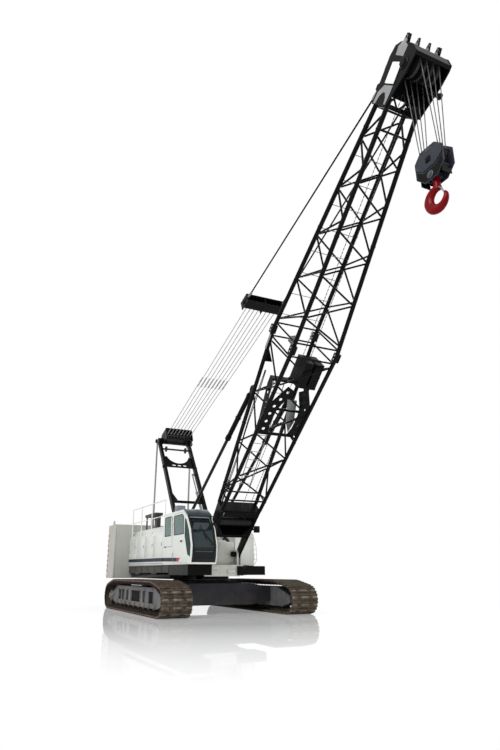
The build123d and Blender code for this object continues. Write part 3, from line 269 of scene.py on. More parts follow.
bevel = put(weather, "ShaderNodeBevel", (-1100, -600), samples=4)
bevel.inputs["Radius"].default_value = 0.012
true_normal = put(weather, "ShaderNodeNewGeometry", (-1100, -800)).outputs["Normal"]
turned = put(weather, "ShaderNodeVectorMath", (-900, -650), operation="DOT_PRODUCT")
weather.links.new(bevel.outputs[0], turned.inputs[0])
weather.links.new(true_normal, turned.inputs[1])
edge = ramped(weather, turned.outputs["Value"], 0.985, 0.90, (-700, -650))
edge = maths(weather, "MULTIPLY", edge, ramped(weather, fine, 0.42, 0.6, (-850, 100)), (-500, -600))
edge = maths(weather, "MULTIPLY", edge, given.outputs["Edge Wear"], (-350, -600))
worn_color = blended(weather, edge, body_color, given.outputs["Worn"], (-100, 300))
apart = put(weather, "ShaderNodeSeparateXYZ", (-1100, -950))
weather.links.new(place, apart.inputs[0])
low_down = ramped(weather, apart.outputs["Z"], given.outputs["Dust Top"], 0.0, (-850, -950))
normal_parts = put(weather, "ShaderNodeSeparateXYZ", (-900, -1100))
weather.links.new(true_normal, normal_parts.inputs[0])
facing_up = ramped(weather, normal_parts.outputs["Z"], 0.5, 1.0, (-700, -1100), 0.0, 0.35)
dust = maths(weather, "ADD", low_down, facing_up, (-600, -950))
dust = maths(weather, "MULTIPLY", dust, ramped(weather, cloud, 0.2, 0.8, (-600, -800)), (-400, -900))
dust = maths(weather, "MULTIPLY", dust, given.outputs["Dust Amount"], (-250, -900))
final = blended(weather, dust, worn_color, given.outputs["Dust"], (150, 200))
weather.links.new(final, result.inputs["Color"])
rough = maths(weather, "ADD", given.outputs["Gloss Loss"],
              maths(weather, "MULTIPLY", dust, 0.45, (0, -500)), (200, -400))
rough = maths(weather, "ADD", rough, maths(weather, "MULTIPLY", fine, 0.12, (200, -600)), (400, -400))
weather.links.new(rough, result.inputs["Roughness"])
height = maths(weather, "ADD", maths(weather, "MULTIPLY", fine, 0.35, (300, -700)), dust, (500, -700))
weather.links.new(height, result.inputs["Height"])

site_dust = (150, 132, 110)


def finish_of(name, paint, worn, gloss_loss, dust_amount=0.3, dust_top=1.2, edge_wear=0.35, mottle=0.12,
              scale=2.5, metallic=0.0, coat=0.0, bump=0.15, bump_distance=0.002, dust=site_dust, shine=0.4):
    """A painted or bare metal: the weather group's colour, roughness and height on one Principled shader.
    Paint, worn and dust are display values from 0 to 255."""
    made = bpy.data.materials.new(name)
    made.use_nodes = True
    nodes = made.node_tree
    shader = nodes.nodes["Principled BSDF"]
    fill(shader, {"Metallic": metallic, "Coat Weight": coat, "Specular IOR Level": shine,
                  "Coat Roughness": 0.12})
    effects = put(nodes, "ShaderNodeGroup", (-500, 0))
    effects.node_tree = weather
    fill(effects, {"Paint": linear(*paint), "Worn": linear(*worn), "Dust": linear(*dust),
                   "Gloss Loss": gloss_loss, "Dust Top": dust_top, "Dust Amount": dust_amount,
                   "Edge Wear": edge_wear, "Mottle": mottle, "Scale": scale})
    relief = put(nodes, "ShaderNodeBump", (-250, -300))
    fill(relief, {"Strength": bump, "Distance": bump_distance})
    nodes.links.new(effects.outputs["Color"], shader.inputs["Base Color"])
    nodes.links.new(effects.outputs["Roughness"], shader.inputs["Roughness"])
    nodes.links.new(effects.outputs["Height"], relief.inputs["Height"])
    nodes.links.new(relief.outputs["Normal"], shader.inputs["Normal"])
    return made


def dress(material, *names):
    """Gives CAD nodes their finish in every material slot."""
    for name in names:
        node = frame["nodes"][name]
        if not node.material_slots:
            node.data.materials.append(material)
        for used in node.material_slots:
            used.material = material


slate = finish_of("slate_underframe", (27, 29, 36), (60, 60, 66), 0.42, 0.15, 1.0, 0.25, 0.12, shine=0.16)
dress(slate, "carbody", "cross_beams")

joint_place = {joint["name"]: np.array(joint.get("pos_m", (0, 0, 0))) for joint in frame["joints"]}
slew_y = joint_place["slewing"][1]


def full_turn(count):
    """Equal angles round a circle."""
    return np.linspace(0, 2 * math.pi, count, endpoint=False)


def quads(rows, columns, wrap_rows=False, wrap_columns=True):
    """Faces between neighbouring points of a grid, with its ends joined where it wraps."""
    i = np.arange(rows if wrap_rows else rows - 1)[:, None]
    j = np.arange(columns if wrap_columns else columns - 1)[None, :]
    after_i, after_j = (i + 1) % rows, (j + 1) % columns
    ring = [i * columns + j, i * columns + after_j, after_i * columns + after_j, after_i * columns + j]
    return np.stack(np.broadcast_arrays(*ring), -1).reshape(-1, 4)


def capped(rows, columns):
    """The walls of a tube of points, one row after the other, with a cap at each end."""
    return [quads(rows, columns), [range(columns)], [range((rows - 1) * columns, rows * columns)]]


def slab(outline, low, high, axis):
    """A flat outline, given in the other two axes, carried straight from low to high along an axis."""
    outline = np.asarray(outline, float)
    count = len(outline)
    others = [number for number in range(3) if number != axis]
    points = np.zeros((2, count, 3))
    points[:, :, others[0]] = outline[:, 0]
    points[:, :, others[1]] = outline[:, 1]
    points[0, :, axis], points[1, :, axis] = low, high
    return points.reshape(-1, 3), capped(2, count)


def soft_block(low, high, radius):
    """A box with round edges: the points of a small ball, each moved out to the corner on its own side."""
    low, high = np.asarray(low, float), np.asarray(high, float)
    quarter = np.linspace(0, math.pi / 2, 4)
    around = np.concatenate([quarter + k * math.pi / 2 for k in range(4)])
    side_x = np.repeat([1, -1, -1, 1], 4)
    side_y = np.repeat([1, 1, -1, -1], 4)
    up = np.concatenate([quarter - math.pi / 2, quarter])
    side_z = np.repeat([-1, 1], 4)
    ball = np.stack(np.broadcast_arrays(
        np.cos(up)[:, None] * np.cos(around), np.cos(up)[:, None] * np.sin(around), np.sin(up)[:, None]), -1)
    side = np.stack(np.broadcast_arrays(side_x[None, :], side_y[None, :], side_z[:, None]), -1)
    points = (low + high) / 2 + side * ((high - low) / 2 - radius) + radius * ball
    return points.reshape(-1, 3), capped(len(up), len(around))


def across(axis):
    """An axis at unit length and two more unit vectors, square to it and to each other."""
    axis = np.asarray(axis, float) / np.linalg.norm(axis)
    helper = np.array([0.0, 0.0, 1.0]) if abs(axis[2]) < 0.9 else np.array([1.0, 0.0, 0.0])
    first = np.cross(axis, helper)
    first = first / np.linalg.norm(first)
    return axis, first, np.cross(axis, first)


def revolved(centre, axis, profile, steps=24, closed=False):
    """Profile points (along, radius) carried round an axis; closed joins the last point to the first."""
    axis, first, second = across(axis)
    turn = full_turn(steps)
    profile = np.asarray(profile, float)
    ring = np.cos(turn)[:, None] * first + np.sin(turn)[:, None] * second
    points = np.asarray(centre) + profile[:, 0, None, None] * axis + profile[:, 1, None, None] * ring
    rows = len(profile)
    return points.reshape(-1, 3), [quads(rows, steps, wrap_rows=True)] if closed else capped(rows, steps)


def carried(path, outline, side, scale=None):
    """A closed outline (across, up) carried along a path, kept square to it; scale widens it by the way."""
    path = np.asarray(path, float)
    outline = np.asarray(outline, float)
    ahead = np.gradient(path, axis=0)
    ahead /= np.linalg.norm(ahead, axis=1)[:, None]
    side = np.asarray(side, float) - ahead * (ahead @ np.asarray(side, float))[:, None]
    side /= np.linalg.norm(side, axis=1)[:, None]
    up = np.cross(ahead, side)
    size = np.ones((len(path), 2)) if scale is None else np.asarray(scale, float)
    points = path[:, None] + outline[None, :, 0, None] * side[:, None] * size[:, None, 0, None]
    points = points + outline[None, :, 1, None] * up[:, None] * size[:, None, 1, None]
    return points.reshape(-1, 3), capped(len(path), len(outline))


def circle(radius, sides):
    """A round outline."""
    turn = full_turn(sides)
    return np.stack([radius * np.cos(turn), radius * np.sin(turn)], -1)


def oblong(half_width, half_height):
    """A four-cornered outline."""
    return np.array([(-1, -1), (1, -1), (1, 1), (-1, 1)]) * (half_width, half_height)


def rod(path, radius, sides=10):
    """A round bar or pipe along a path."""
    path = np.asarray(path, float)
    return carried(path, circle(radius, sides), across(path[-1] - path[0])[1])


def bent(corners, radius, steps=5):
    """The corners of a path, each rounded by an arc-like curve of the neighbouring runs."""
    corners = np.asarray(corners, float)
    path = [corners[:1]]
    share = np.linspace(0, 1, steps)[:, None]
    for before, corner, after in zip(corners, corners[1:], corners[2:]):
        start = corner + (before - corner) * min(0.5, radius / np.linalg.norm(before - corner))
        stop = corner + (after - corner) * min(0.5, radius / np.linalg.norm(after - corner))
        path.append((1 - share) ** 2 * start + 2 * share * (1 - share) * corner + share**2 * stop)
    return np.concatenate(path + [corners[-1:]])


sharp_angle = math.radians(38)


def make(name, shells, material, body, bevel=0.0):
    """Joins closed shells (points, faces) into one mesh that rides on a body."""
    points, faces, start = [], [], 0
    for shell_points, shell_faces in shells:
        points.append(shell_points)
        for part in shell_faces:
            faces += (np.asarray([list(face) for face in part]) + start).tolist()
        start += len(shell_points)
    mesh = bpy.data.meshes.new(name)
    mesh.from_pydata(np.vstack(points).tolist(), [], faces)
    work = bmesh.new()
    work.from_mesh(mesh)
    bmesh.ops.remove_doubles(work, verts=work.verts, dist=1e-6)
    bmesh.ops.recalc_face_normals(work, faces=work.faces)
    work.to_mesh(mesh)
    work.free()
    mesh.shade_smooth()
    mesh.set_sharp_from_angle(angle=sharp_angle)
    mesh.materials.append(material)
    piece = bpy.data.objects.new(name, mesh)
    bpy.context.scene.collection.objects.link(piece)
    if bevel:
        edge_round = piece.modifiers.new("edge_round", "BEVEL")
        edge_round.width = bevel
        edge_round.segments = 2
        edge_round.limit_method = "ANGLE"
        edge_round.angle_limit = sharp_angle
    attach(piece, body)
    return piece


def mirrored(shells):
    """The shells and their copies on the other side of x = 0."""
    flipped = [(points * np.array([-1.0, 1.0, 1.0]), faces) for points, faces in shells]
    return shells + flipped


def at(x, y, z):
    """A point given from the slewing axis."""
    return np.array([x, y + slew_y, z])


def block(low, high, radius):
    """A box with round edges between two points given from the slewing axis."""
    return soft_block(at(*low), at(*high), radius)


def blocks(table):
    """Several such boxes, from rows of two corners and a radius."""
    return [block(*row) for row in table]


def deck_plate(outline, low, high):
    """An outline in (x, y from the slewing axis), carried up from low to high."""
    return slab(np.array(outline) + (0, slew_y), low, high, 2)


def cross_plate(outline, low, high):
    """An outline in (x, z), carried back from low to high, both from the slewing axis."""
    return slab(outline, low + slew_y, high + slew_y, 1)


def side_plate(outline, low, high):
    """An outline in (y from the slewing axis, z), carried across from low to high."""
    return slab(np.array(outline) + (slew_y, 0), low, high, 0)


def bolt(place, axis, radius, height=None):
    """A hexagon head standing on a surface along an axis, with its top edge turned in."""
    height = radius * 0.8 if height is None else height
    profile = [(-0.3 * height, radius), (0.75 * height, radius), (height, 0.78 * radius)]
    return revolved(place, axis, profile, steps=6)


def bolt_ring(centre, reach, count, side, radius):
    """Bolts at equal angles round a centre, on a face square to x."""
    return [bolt(centre + (0, reach * math.cos(turn), reach * math.sin(turn)), (side, 0, 0), radius)
            for turn in full_turn(count)]


beam_face = 1.62
details = []
for outward in (-1, 1):
    side_y = outward * beam_face
    for x in (-1.45, 1.45):
        details.append(block((x - 0.12, side_y - 0.02, 0.30), (x + 0.12, side_y + 0.02, 0.36), 0.008))
        details += [bolt(at(x + dx, side_y, z), (0, outward, 0), 0.022)
                    for dx in (-0.22, 0.22) for z in (0.42, 0.56, 0.70)]
for turn in full_turn(36):
    details.append(bolt(at(0.955 * math.cos(turn), 0.955 * math.sin(turn), 0.98), (0, 0, 1), 0.02))
make("carbody_bolts_and_pads", details, slate, "undercarriage", 0.002)

# Crawler frames: welded box beams with cast end forks, painted blue-grey, dusty; each carries its rollers,
# the idler in front and the sprocket with its travel motor at the back
frame_paint = finish_of("crawler_frame_paint", (60, 62, 69), (150, 148, 146), 0.42, 0.22, 1.0, 0.9, 0.22,
                        shine=0.3)
# A near-black finish that is painted shade: it darkens the frames' side pockets and the shoes' outer ends.
recess_shade_black = finish_of("recess_black", (12, 11, 11), (32, 30, 27), 0.6, 0.04, 0.9, 0.1, 0.15, shine=0.05)
cast_wheel = finish_of("worn_cast_wheels", (70, 68, 66), (150, 148, 145), 0.42, 0.4, 0.9, 0.6, 0.3,
                       metallic=0.6)
dress(frame_paint, "track_frame_right", "track_frame_left")
roller_dark = finish_of("oily_rollers", (30, 28, 27), (96, 92, 88), 0.4, 0.15, 0.9, 0.6, 0.3, metallic=0.4,
                        shine=0.2)
dress(cast_wheel, "drive_sprockets", "idler_wheels", "slewing_ring")
dress(roller_dark, "track_rollers_right", "track_rollers_left")
track_x, frame_half = 2.0575, 0.28
frame_face = track_x + frame_half
shells, shade_shells, wheel_shells = [], [], []
roller_cap = [(0, 0.085), (0.035, 0.085), (0.05, 0.07), (0.055, 0.035), (0.07, 0.03)]
for y in np.linspace(-2.1, 2.1, 9):
    wheel_shells.append(revolved(at(frame_face - 0.02, y, 0.25), (1, 0, 0), roller_cap, 20))
    shells += [bolt(at(frame_face, y + dy, 0.33), (1, 0, 0), 0.016) for dy in (-0.07, 0.07)]
for low, high in ((-2.02, -1.47), (-1.18, -0.90), (-0.66, 0.42), (0.69, 0.97), (1.22, 1.53), (1.61, 1.93)):
    width, tall = high - low, 0.36
    outline, inner = oblong(width / 2 + 0.01, tall / 2 + 0.01), oblong(width / 2 - 0.015, tall / 2 - 0.015)
    middle = np.array([(low + high) / 2 + slew_y, 0.51])
    rim = np.stack([np.column_stack([np.full(4, frame_face + lift), *(part + middle).T])
                    for part, lift in ((outline, -0.004), (outline, 0.014), (inner, 0.014), (inner, -0.004))])
    shells.append((rim.reshape(-1, 3), [quads(4, 4, wrap_rows=True)]))
    # A near-black plate at the back of each pocket: painted shade in the recess.
    back = frame_face - 0.036
    shade_shells.append(block((back - 0.004, low + 0.012, 0.342), (back + 0.004, high - 0.012, 0.678), 0.003))
rail_path = at(frame_face + 0.006, 0, 0.745) + np.linspace(-1.95, 1.95, 40)[:, None] * (0, 1, 0)
shells.append(carried(rail_path, oblong(0.01, 0.02), (1, 0, 0)))
arch = np.linspace(math.pi * 0.06, math.pi * 0.94, 24)
arch_path = np.stack([0 * arch, -0.34 * np.cos(arch), 0.30 * np.sin(arch)], -1)
arch_path = arch_path + at(frame_face + 0.004, 2.16, 0.40)
shells.append(carried(arch_path, oblong(0.012, 0.022), (1, 0, 0)))
# A near-black plate deep in the middle pocket: painted shade.
shade_shells.append(side_plate([(-0.18, 0.43), (0.02, 0.39), (0.16, 0.46), (0.10, 0.60), (-0.05, 0.645),
                               (-0.21, 0.56)], frame_face - 0.09, frame_face - 0.035))
motor = [(0.0, 0.20), (0.10, 0.20), (0.12, 0.185), (0.125, 0.12), (0.155, 0.11), (0.17, 0.09), (0.17, 0.0)]
wheel_shells.append(revolved(at(track_x + 0.19, 2.895, 0.43), (1, 0, 0), motor, 32))
wheel_shells += bolt_ring(at(track_x + 0.31, 2.895, 0.43), 0.155, 12, 1, 0.014)
hub = [(0.0, 0.13), (0.08, 0.13), (0.10, 0.11), (0.105, 0.05), (0.12, 0.045), (0.12, 0.0)]
wheel_shells.append(revolved(at(track_x + 0.19, -2.895, 0.43), (1, 0, 0), hub, 28))
make("crawler_frame_ribs", mirrored(shells), frame_paint, "undercarriage", 0.003)
make("crawler_frame_recesses", mirrored(shade_shells), recess_shade_black, "undercarriage")
make("wheel_hubs_and_motors", mirrored(wheel_shells), cast_wheel, "undercarriage")

# Track shoes: 70 cast shoes a side, dry brown dust on worn steel. The steel's dark base is also painted shade
# in the valleys between the grousers, and its light worn edges are also painted highlights on the grouser
# edges. The
# CAD band has their grousers; here come the raised pads, their bolts, the chain's guide lugs, and the shoes'
# ends, black as painted shade, with pale and red marks.
shoe_steel_and_shade = finish_of("dusty_shoes", (30, 26, 23), (112, 100, 86), 0.62, 0.4, 1.9, 0.8, 0.3, 6.0,
                       metallic=0.1, bump=0.6, bump_distance=0.008, dust=(104, 94, 80), shine=0.1)
pad_steel = finish_of("worn_shoe_pads", (68, 60, 50), (140, 130, 112), 0.55, 0.4, 1.9, 1.0, 0.6, 9.0,
                      metallic=0.15, bump=0.6, bump_distance=0.006, dust=(122, 110, 92), shine=0.16)
shoe_red = finish_of("shoe_edge_red", (140, 26, 26), (190, 176, 160), 0.6, 0.1, 1.6, 0.6, 0.3, 8.0, shine=0.2)
dress(shoe_steel_and_shade, "track_right", "track_left")
shoe_count, shoe_thickness, chain_depth = 70, 0.034, 0.058
belt_circles = np.array([(2.895, 0.43, 0.358), (2.15, 0.758, 0.17), (-2.15, 0.758, 0.17),
                         (-2.895, 0.43, 0.358)])


def belt():
    """The track's pins at equal steps, each with the heading to the next pin, the outward normal and the
    pitch: the closed line is the far edge of four circles in every direction, measured off by its length."""
    turn = np.linspace(-math.pi / 2, 1.5 * math.pi, 6001) + 1e-6
    heading = np.stack([np.cos(turn), np.sin(turn)], -1)
    best = (heading @ belt_circles[:, :2].T + belt_circles[:, 2]).argmax(axis=1)
    line = belt_circles[best, :2] + belt_circles[best, 2:] * heading
    walked = np.concatenate([[0], np.cumsum(np.linalg.norm(np.diff(line, axis=0), axis=1))])
    steps = np.linspace(0, walked[-1], shoe_count, endpoint=False)
    pins = np.stack([np.interp(steps, walked, line[:, k]) for k in (0, 1)], -1)
    ahead = np.roll(pins, -1, axis=0) - pins
    pitch = np.linalg.norm(ahead, axis=1)[:, None]
    ahead = ahead / pitch
    return pins, ahead, np.stack([ahead[:, 1], -ahead[:, 0]], -1), pitch


def on_belt(x, along, height):
    """Points x across, at shares of the pitch and heights over the pins' line, the same on every shoe."""
    pins, ahead, outward, pitch = belt()
    lifted = outward[:, None] * np.reshape(height, (1, -1, 1))
    flat = pins[:, None] + ahead[:, None] * (pitch * along)[..., None] + lifted
    points = np.stack([np.broadcast_to(x, flat.shape[:2]), flat[..., 0] + slew_y, flat[..., 1]], -1)
    return points.reshape(-1, 3)


def shoe_boxes(x, along, height, taper=0.85):
    """A tapered box on every shoe between two values across, along (shares of the pitch) and in height."""
    corner = np.array([(a, b, h) for h in (0, 1) for a, b in ((0, 0), (1, 0), (1, 1), (0, 1))])
    middle, half = (along[0] + along[1]) / 2, (along[1] - along[0]) / 2
    share = middle + half * (2 * corner[:, 1] - 1) * np.where(corner[:, 2] > 0, taper, 1.0)
    points = on_belt(np.take(x, corner[:, 0]), share, np.take(height, corner[:, 2]))
    sides = np.array([(0, 1, 5, 4), (1, 2, 6, 5), (2, 3, 7, 6), (3, 0, 4, 7), (0, 3, 2, 1), (4, 5, 6, 7)])
    return points, [(sides[None] + 8 * np.arange(shoe_count)[:, None, None]).reshape(-1, 4)]


def shoe_bolts(x, share, height, radius):
    """A low six-sided bolt head at the same place of every shoe."""
    turn = np.tile(full_turn(6), 2)
    size = np.repeat([radius, 0.85 * radius], 6)
    points = on_belt(x + size * np.sin(turn), share + size * np.cos(turn) / 0.2,
                     np.repeat([height, height + 0.016], 6))
    base = 12 * np.arange(shoe_count)[:, None, None]
    walls = np.array([(k, (k + 1) % 6, 6 + (k + 1) % 6, 6 + k) for k in range(6)])
    caps = np.array([(5, 4, 3, 2, 1, 0), (6, 7, 8, 9, 10, 11)])
    return points, [(walls[None] + base).reshape(-1, 4), (caps[None] + base).reshape(-1, 6)]


pads, bolts, lugs, tips, shaded_ends = [], [], [], [], []
for side in (-1, 1):
    middle = side * track_x
    for x in ((-0.44, -0.28), (-0.12, 0.12), (0.28, 0.44)):
        pads.append(shoe_boxes((middle + x[0], middle + x[1]), (0.38, 0.74), (shoe_thickness - 0.004, 0.052)))
    below = (-chain_depth + 0.004, -chain_depth - 0.042)
    lugs += [shoe_boxes((middle + x - 0.017, middle + x + 0.017), (0.25, 0.75), below, 0.6)
             for x in (-0.145, 0.145)]
    bolts += [shoe_bolts(middle + x, 0.56, shoe_thickness - 0.004, 0.018) for x in (-0.25, -0.16, 0.16, 0.25)]
    out = sorted((middle + side * 0.444, middle + side * 0.460))
    tips.append(shoe_boxes(out, (0.14, 0.40), (0.014, 0.038), 0.8))
    pads.append(shoe_boxes(out, (0.56, 0.82), (0.014, 0.038), 0.8))
    # Near-black boxes over the shoes' outer ends: painted shade on their end faces.
    ends = sorted((middle + side * 0.444, middle + side * 0.457))
    shaded_ends.append(shoe_boxes(ends, (0.03, 0.93), (-0.052, 0.033), 0.96))
make("shoe_pads", pads, pad_steel, "undercarriage")
make("shoe_bolts", bolts, cast_wheel, "undercarriage")
make("chain_guide_lugs", lugs, shoe_steel_and_shade, "undercarriage")
make("shoe_end_marks", tips, shoe_red, "undercarriage")
make("shoe_ends", shaded_ends, recess_shade_black, "undercarriage")

# Rotating bed: welded deck of box girders, dark warm grey below the houses, with a pale nose in front
# between the cab and the boom foot; the spine plates and stands are of the same plate
bed_paint = finish_of("deck_grey", (58, 56, 53), (96, 90, 84), 0.45, 0.15, 1.6, 0.3, 0.2, shine=0.2)
nose_paint = finish_of("pale_grey_plate", (192, 193, 184), (132, 130, 120), 0.4, 0.1, 1.6, 0.3, 0.16)
black_paint = finish_of("gloss_black_paint", (9, 9, 10), (44, 43, 42), 0.22, 0.02, 1.0, 0.25, 0.06, 1.6,
                        shine=0.06)
steel_pin = finish_of("bright_pins", (150, 150, 150), (95, 92, 90), 0.3, 0.2, 1.2, 0.2, 0.3, metallic=0.9)
dress(bed_paint, "rotating_bed")
dress(nose_paint, "spine_plates")
dress(black_paint, "front_step_deck", "cab_base")
dress(steel_pin, "boom_foot_pins")
shells = [
    cross_plate([(-0.735, 1.452), (-0.735, 1.24), (-0.60, 1.10), (0.60, 1.10), (0.735, 1.24), (0.735, 1.452)],
                -1.722, -1.704),
    side_plate([(-1.705, 1.12), (-1.705, 1.45), (-0.95, 1.45), (-0.95, 1.12)], 0.742, 0.756),
    block((-0.40, -1.76, 1.30), (-0.18, -1.70, 1.40), 0.01),
    block((0.16, -1.76, 1.20), (0.44, -1.70, 1.30), 0.01),
]
shells += [bolt(at(x, -1.722, z), (0, -1, 0), 0.016) for x in (-0.66, -0.22, 0.22, 0.66)
           for z in (1.27, 1.42)]
shells.append(block((-0.522, -1.475, 1.455), (0.522, -1.43, 2.17), 0.018))
shells += [block((x - 0.012, -1.485, 1.75), (x + 0.012, -1.47, 1.85), 0.005) for x in (-0.18, 0.18)]
make("bed_nose_plates", shells, nose_paint, "upperworks", 0.004)
shells = blocks([
    ((0.505, -1.80, 1.135), (0.80, -1.735, 1.41), 0.01),
    ((-1.46, -0.9, 1.015), (-0.985, 3.5, 1.165), 0.02),
    ((-1.00, 0.99, 1.015), (0.2, 3.5, 1.165), 0.02),
    ((-0.62, -1.55, 1.015), (0.28, -0.99, 1.12), 0.02),
])
make("belly_and_step_plates", shells, black_paint, "upperworks")
shells = []
for y in (-0.2, 0.55, 1.3, 2.05, 2.8, 3.4):
    shells.append(side_plate([(y - 0.02, 1.25), (y + 0.02, 1.25), (y + 0.02, 1.44), (y - 0.02, 1.44)],
                             1.515, 1.545))
shells.append(block((1.525, -0.38, 1.405), (1.552, 3.68, 1.452), 0.006))
shells.append(block((1.525, -0.3, 1.205), (1.548, 3.66, 1.245), 0.006))
for y in (0.3, 2.2):
    shells.append(block((1.50, y, 1.16), (1.54, y + 0.55, 1.215), 0.01))
make("bed_skirt_ribs", mirrored(shells), bed_paint, "upperworks", 0.002)
step_shells = [rod([at(x, -1.77, 1.413), at(x, -0.96, 1.413)], 0.005, 6) for x in 0.80 + 0.083 * np.arange(9)]
step_shells += [rod([at(0.80, y, 1.412), at(1.49, y, 1.412)], 0.004, 6) for y in -1.75 + 0.1 * np.arange(8)]
make("step_deck_grating", step_shells, black_paint, "upperworks")

# Machinery houses: pressed sheet, gloss off-white, with hinged doors, a navy band with a red tip along
# the right side, louvres, and a sloped shoulder with a railing above
white_paint = finish_of("off_white_gloss", (206, 208, 202), (160, 159, 150), 0.22, 0.08, 2.2, 0.18, 0.1,
                        1.3, coat=0.2)
navy = finish_of("navy_band", (12, 18, 44), (44, 50, 68), 0.3, 0.03, 1.6, 0.1, 0.08, shine=0.1)
red_tip = finish_of("red_band_tip", (176, 28, 32), (120, 40, 40), 0.3, 0.05, 1.6, 0.1, 0.1, shine=0.2)
rubber = finish_of("black_rubber", (22, 22, 23), (56, 55, 54), 0.65, 0.1, 2.0, 0.1, 0.2, shine=0.15)
dress(white_paint, "machinery_house_right", "machinery_house_left")
dress(finish_of("engine_grey", (82, 84, 86), (50, 48, 46), 0.5, 0.3), "engine_block")


def side_panel(y_low, y_high, z_low, z_high, x_face, thick):
    """A flat door on a side wall, standing out by its thickness."""
    x_low, x_high = sorted((x_face, x_face + thick))
    return block((x_low, y_low, z_low), (x_high, y_high, z_high), 0.005)


doors, dark, pins = [], [], []
house_wall, door_thick = 1.55, 0.011
for side in (-1, 1):
    wall, out = side * house_wall, side * door_thick
    front = -0.36 if side < 0 else -0.90
    edges = np.linspace(front + 0.03, 3.66, 5 if side < 0 else 6)
    for low, high in zip(edges, edges[1:]):
        doors.append(side_panel(low + 0.012, high - 0.012, 1.725, 2.425, wall - side * 0.002, out))
        grip_x, hinge_x, hinge_y = wall + side * 0.005, wall + side * 0.012, high - 0.02
        dark.append(block((grip_x - 0.012, low + 0.10, 2.06), (grip_x + 0.012, low + 0.13, 2.16), 0.004))
        pins += [rod([at(hinge_x, hinge_y, z), at(hinge_x, hinge_y, z + 0.09)], 0.009, 8)
                 for z in (1.80, 2.28)]
    doors.append(side_panel(front + 0.02, 3.67, 1.462, 1.60, wall - side * 0.002, out * 0.8))
louvres = []
for k in range(9):
    z = 1.83 + 0.062 * k
    for side, base_z, low, high in ((1, z, 2.15, 2.72), (-1, z + 0.1, 2.75, 3.45)):
        blade = [(1.556, 0.0), (1.572, -0.012), (1.572, 0.008), (1.556, 0.028)]
        louvres.append(cross_plate([(side * x, base_z + dz) for x, dz in blade], low, high))
for y in np.linspace(1.6, 3.3, 12):
    louvres += [block((x, y, 2.748), (x + 0.25, y + 0.06, 2.765), 0.004) for x in (0.95, -1.20)]
make("house_doors", doors, white_paint, "upperworks")
make("house_louvres", louvres, white_paint, "upperworks")
make("house_handles", dark, rubber, "upperworks")
make("house_hinges", pins, white_paint, "upperworks")
band = [side_plate([(-0.39, 1.558), (3.675, 1.583), (3.675, 1.693), (-0.39, 1.672)], -1.5625, -1.549)]
band.append(side_plate([(-1.325, 1.542), (-0.39, 1.558), (-0.39, 1.672), (-1.325, 1.655)], -1.5525, -1.549))
band.append(side_plate([(3.675, 1.623), (3.675, 1.693), (-0.93, 1.693), (-0.93, 1.623)], 1.549, 1.5625))
make("navy_side_band", band, navy, "upperworks")
band = [side_plate([(-1.67, 1.537), (-1.345, 1.542), (-1.345, 1.655), (-1.735, 1.648)], -1.5525, -1.549)]
make("navy_door_band", band, navy, "cab_door")
tip = [side_plate([(-1.67, 1.537), (-1.735, 1.648), (-2.01, 1.642), (-1.86, 1.534)], -1.5528, -1.549)]
make("red_band_end", tip, red_tip, "cab_door")
line = [side_plate([(-0.37, 1.50), (3.67, 1.515), (3.67, 1.523), (-0.37, 1.508)], -1.566, -1.549)]
make("brown_seam", line, bed_paint, "upperworks")

shells = []
for side in (-1, 1):
    for y in (0.4, 1.9, 3.2):
        loop = [at(side * 1.02, y + dy, z) for dy, z in ((0, 2.745), (0, 2.83), (0.16, 2.83), (0.16, 2.745))]
        shells.append(carried(bent(loop, 0.04), circle(0.012, 8), (1, 0, 0)))
make("roof_grab_loops", shells, white_paint, "upperworks")
pipe = finish_of("sooty_exhaust", (86, 84, 84), (44, 42, 42), 0.45, 0.2, 1.0, 0.4, 0.4, metallic=0.7)
bend = bent([at(1.15, 1.35, 2.74), at(1.15, 1.35, 3.02), at(1.15, 1.52, 3.16)], 0.12, 8)
breather = [(0, 0.06), (0.03, 0.06), (0.05, 0.045), (0.30, 0.045), (0.31, 0.065), (0.39, 0.065), (0.41, 0.02)]
shells = [carried(bend, circle(0.055, 20), (1, 0, 0)),
          revolved(at(1.15, 1.35, 2.745), (0, 0, 1), [(0, 0.09), (0.02, 0.09), (0.03, 0.06)], 24),
          revolved(at(-1.18, 1.62, 2.74), (0, 0, 1), breather, 20)]
make("exhaust_and_breather", shells, pipe, "upperworks")
shells = blocks([((-1.16, 1.80, 3.24), (-0.86, 3.08, 3.34), 0.012),
                 ((-1.12, 1.84, 2.745), (-0.92, 2.00, 3.26), 0.02)])
shells += [block((x, 2.96, 2.745), (x + 0.05, 3.01, 3.25), 0.006) for x in (-1.13, -0.94)]
make("roof_tool_box", shells, bed_paint, "upperworks")
rail_paint = finish_of("rail_white", (218, 219, 216), (176, 172, 164), 0.35, 0.03, 1.0, 0.3, 0.15)
dress(rail_paint, "roof_railing")
shells = []
for y in (3.56, 2.38, 1.12, -0.33):
    shells.append(cross_plate([(-1.545, 2.445), (-1.462, 2.528), (-1.452, 2.518), (-1.535, 2.435)],
                              y - 0.05, y + 0.05))
    shells.append(block((-1.52, y - 0.03, 2.46), (-1.48, y + 0.03, 2.62), 0.008))
ladder = []
for shift in (0.0, -0.10):
    corners = [(1.40, 2.44), (1.50, 2.40), (1.60, 2.05), (1.62, 1.62), (1.50, 1.44), (1.42, 1.44)]
    ladder.append(rod(bent([at(x + shift, -1.0, z) for x, z in corners], 0.10, 6), 0.013, 10))
ladder += [rod([at(1.595 - 0.1, -1.0, z), at(1.60, -1.0, z)], 0.009, 8) for z in (1.64, 1.80, 1.96, 2.12)]
ladder += [rod([at(1.48, y0, z), at(1.48, -0.92, z)], 0.010, 8) for y0, z in ((-1.0, 1.47), (-1.0, 2.36))]
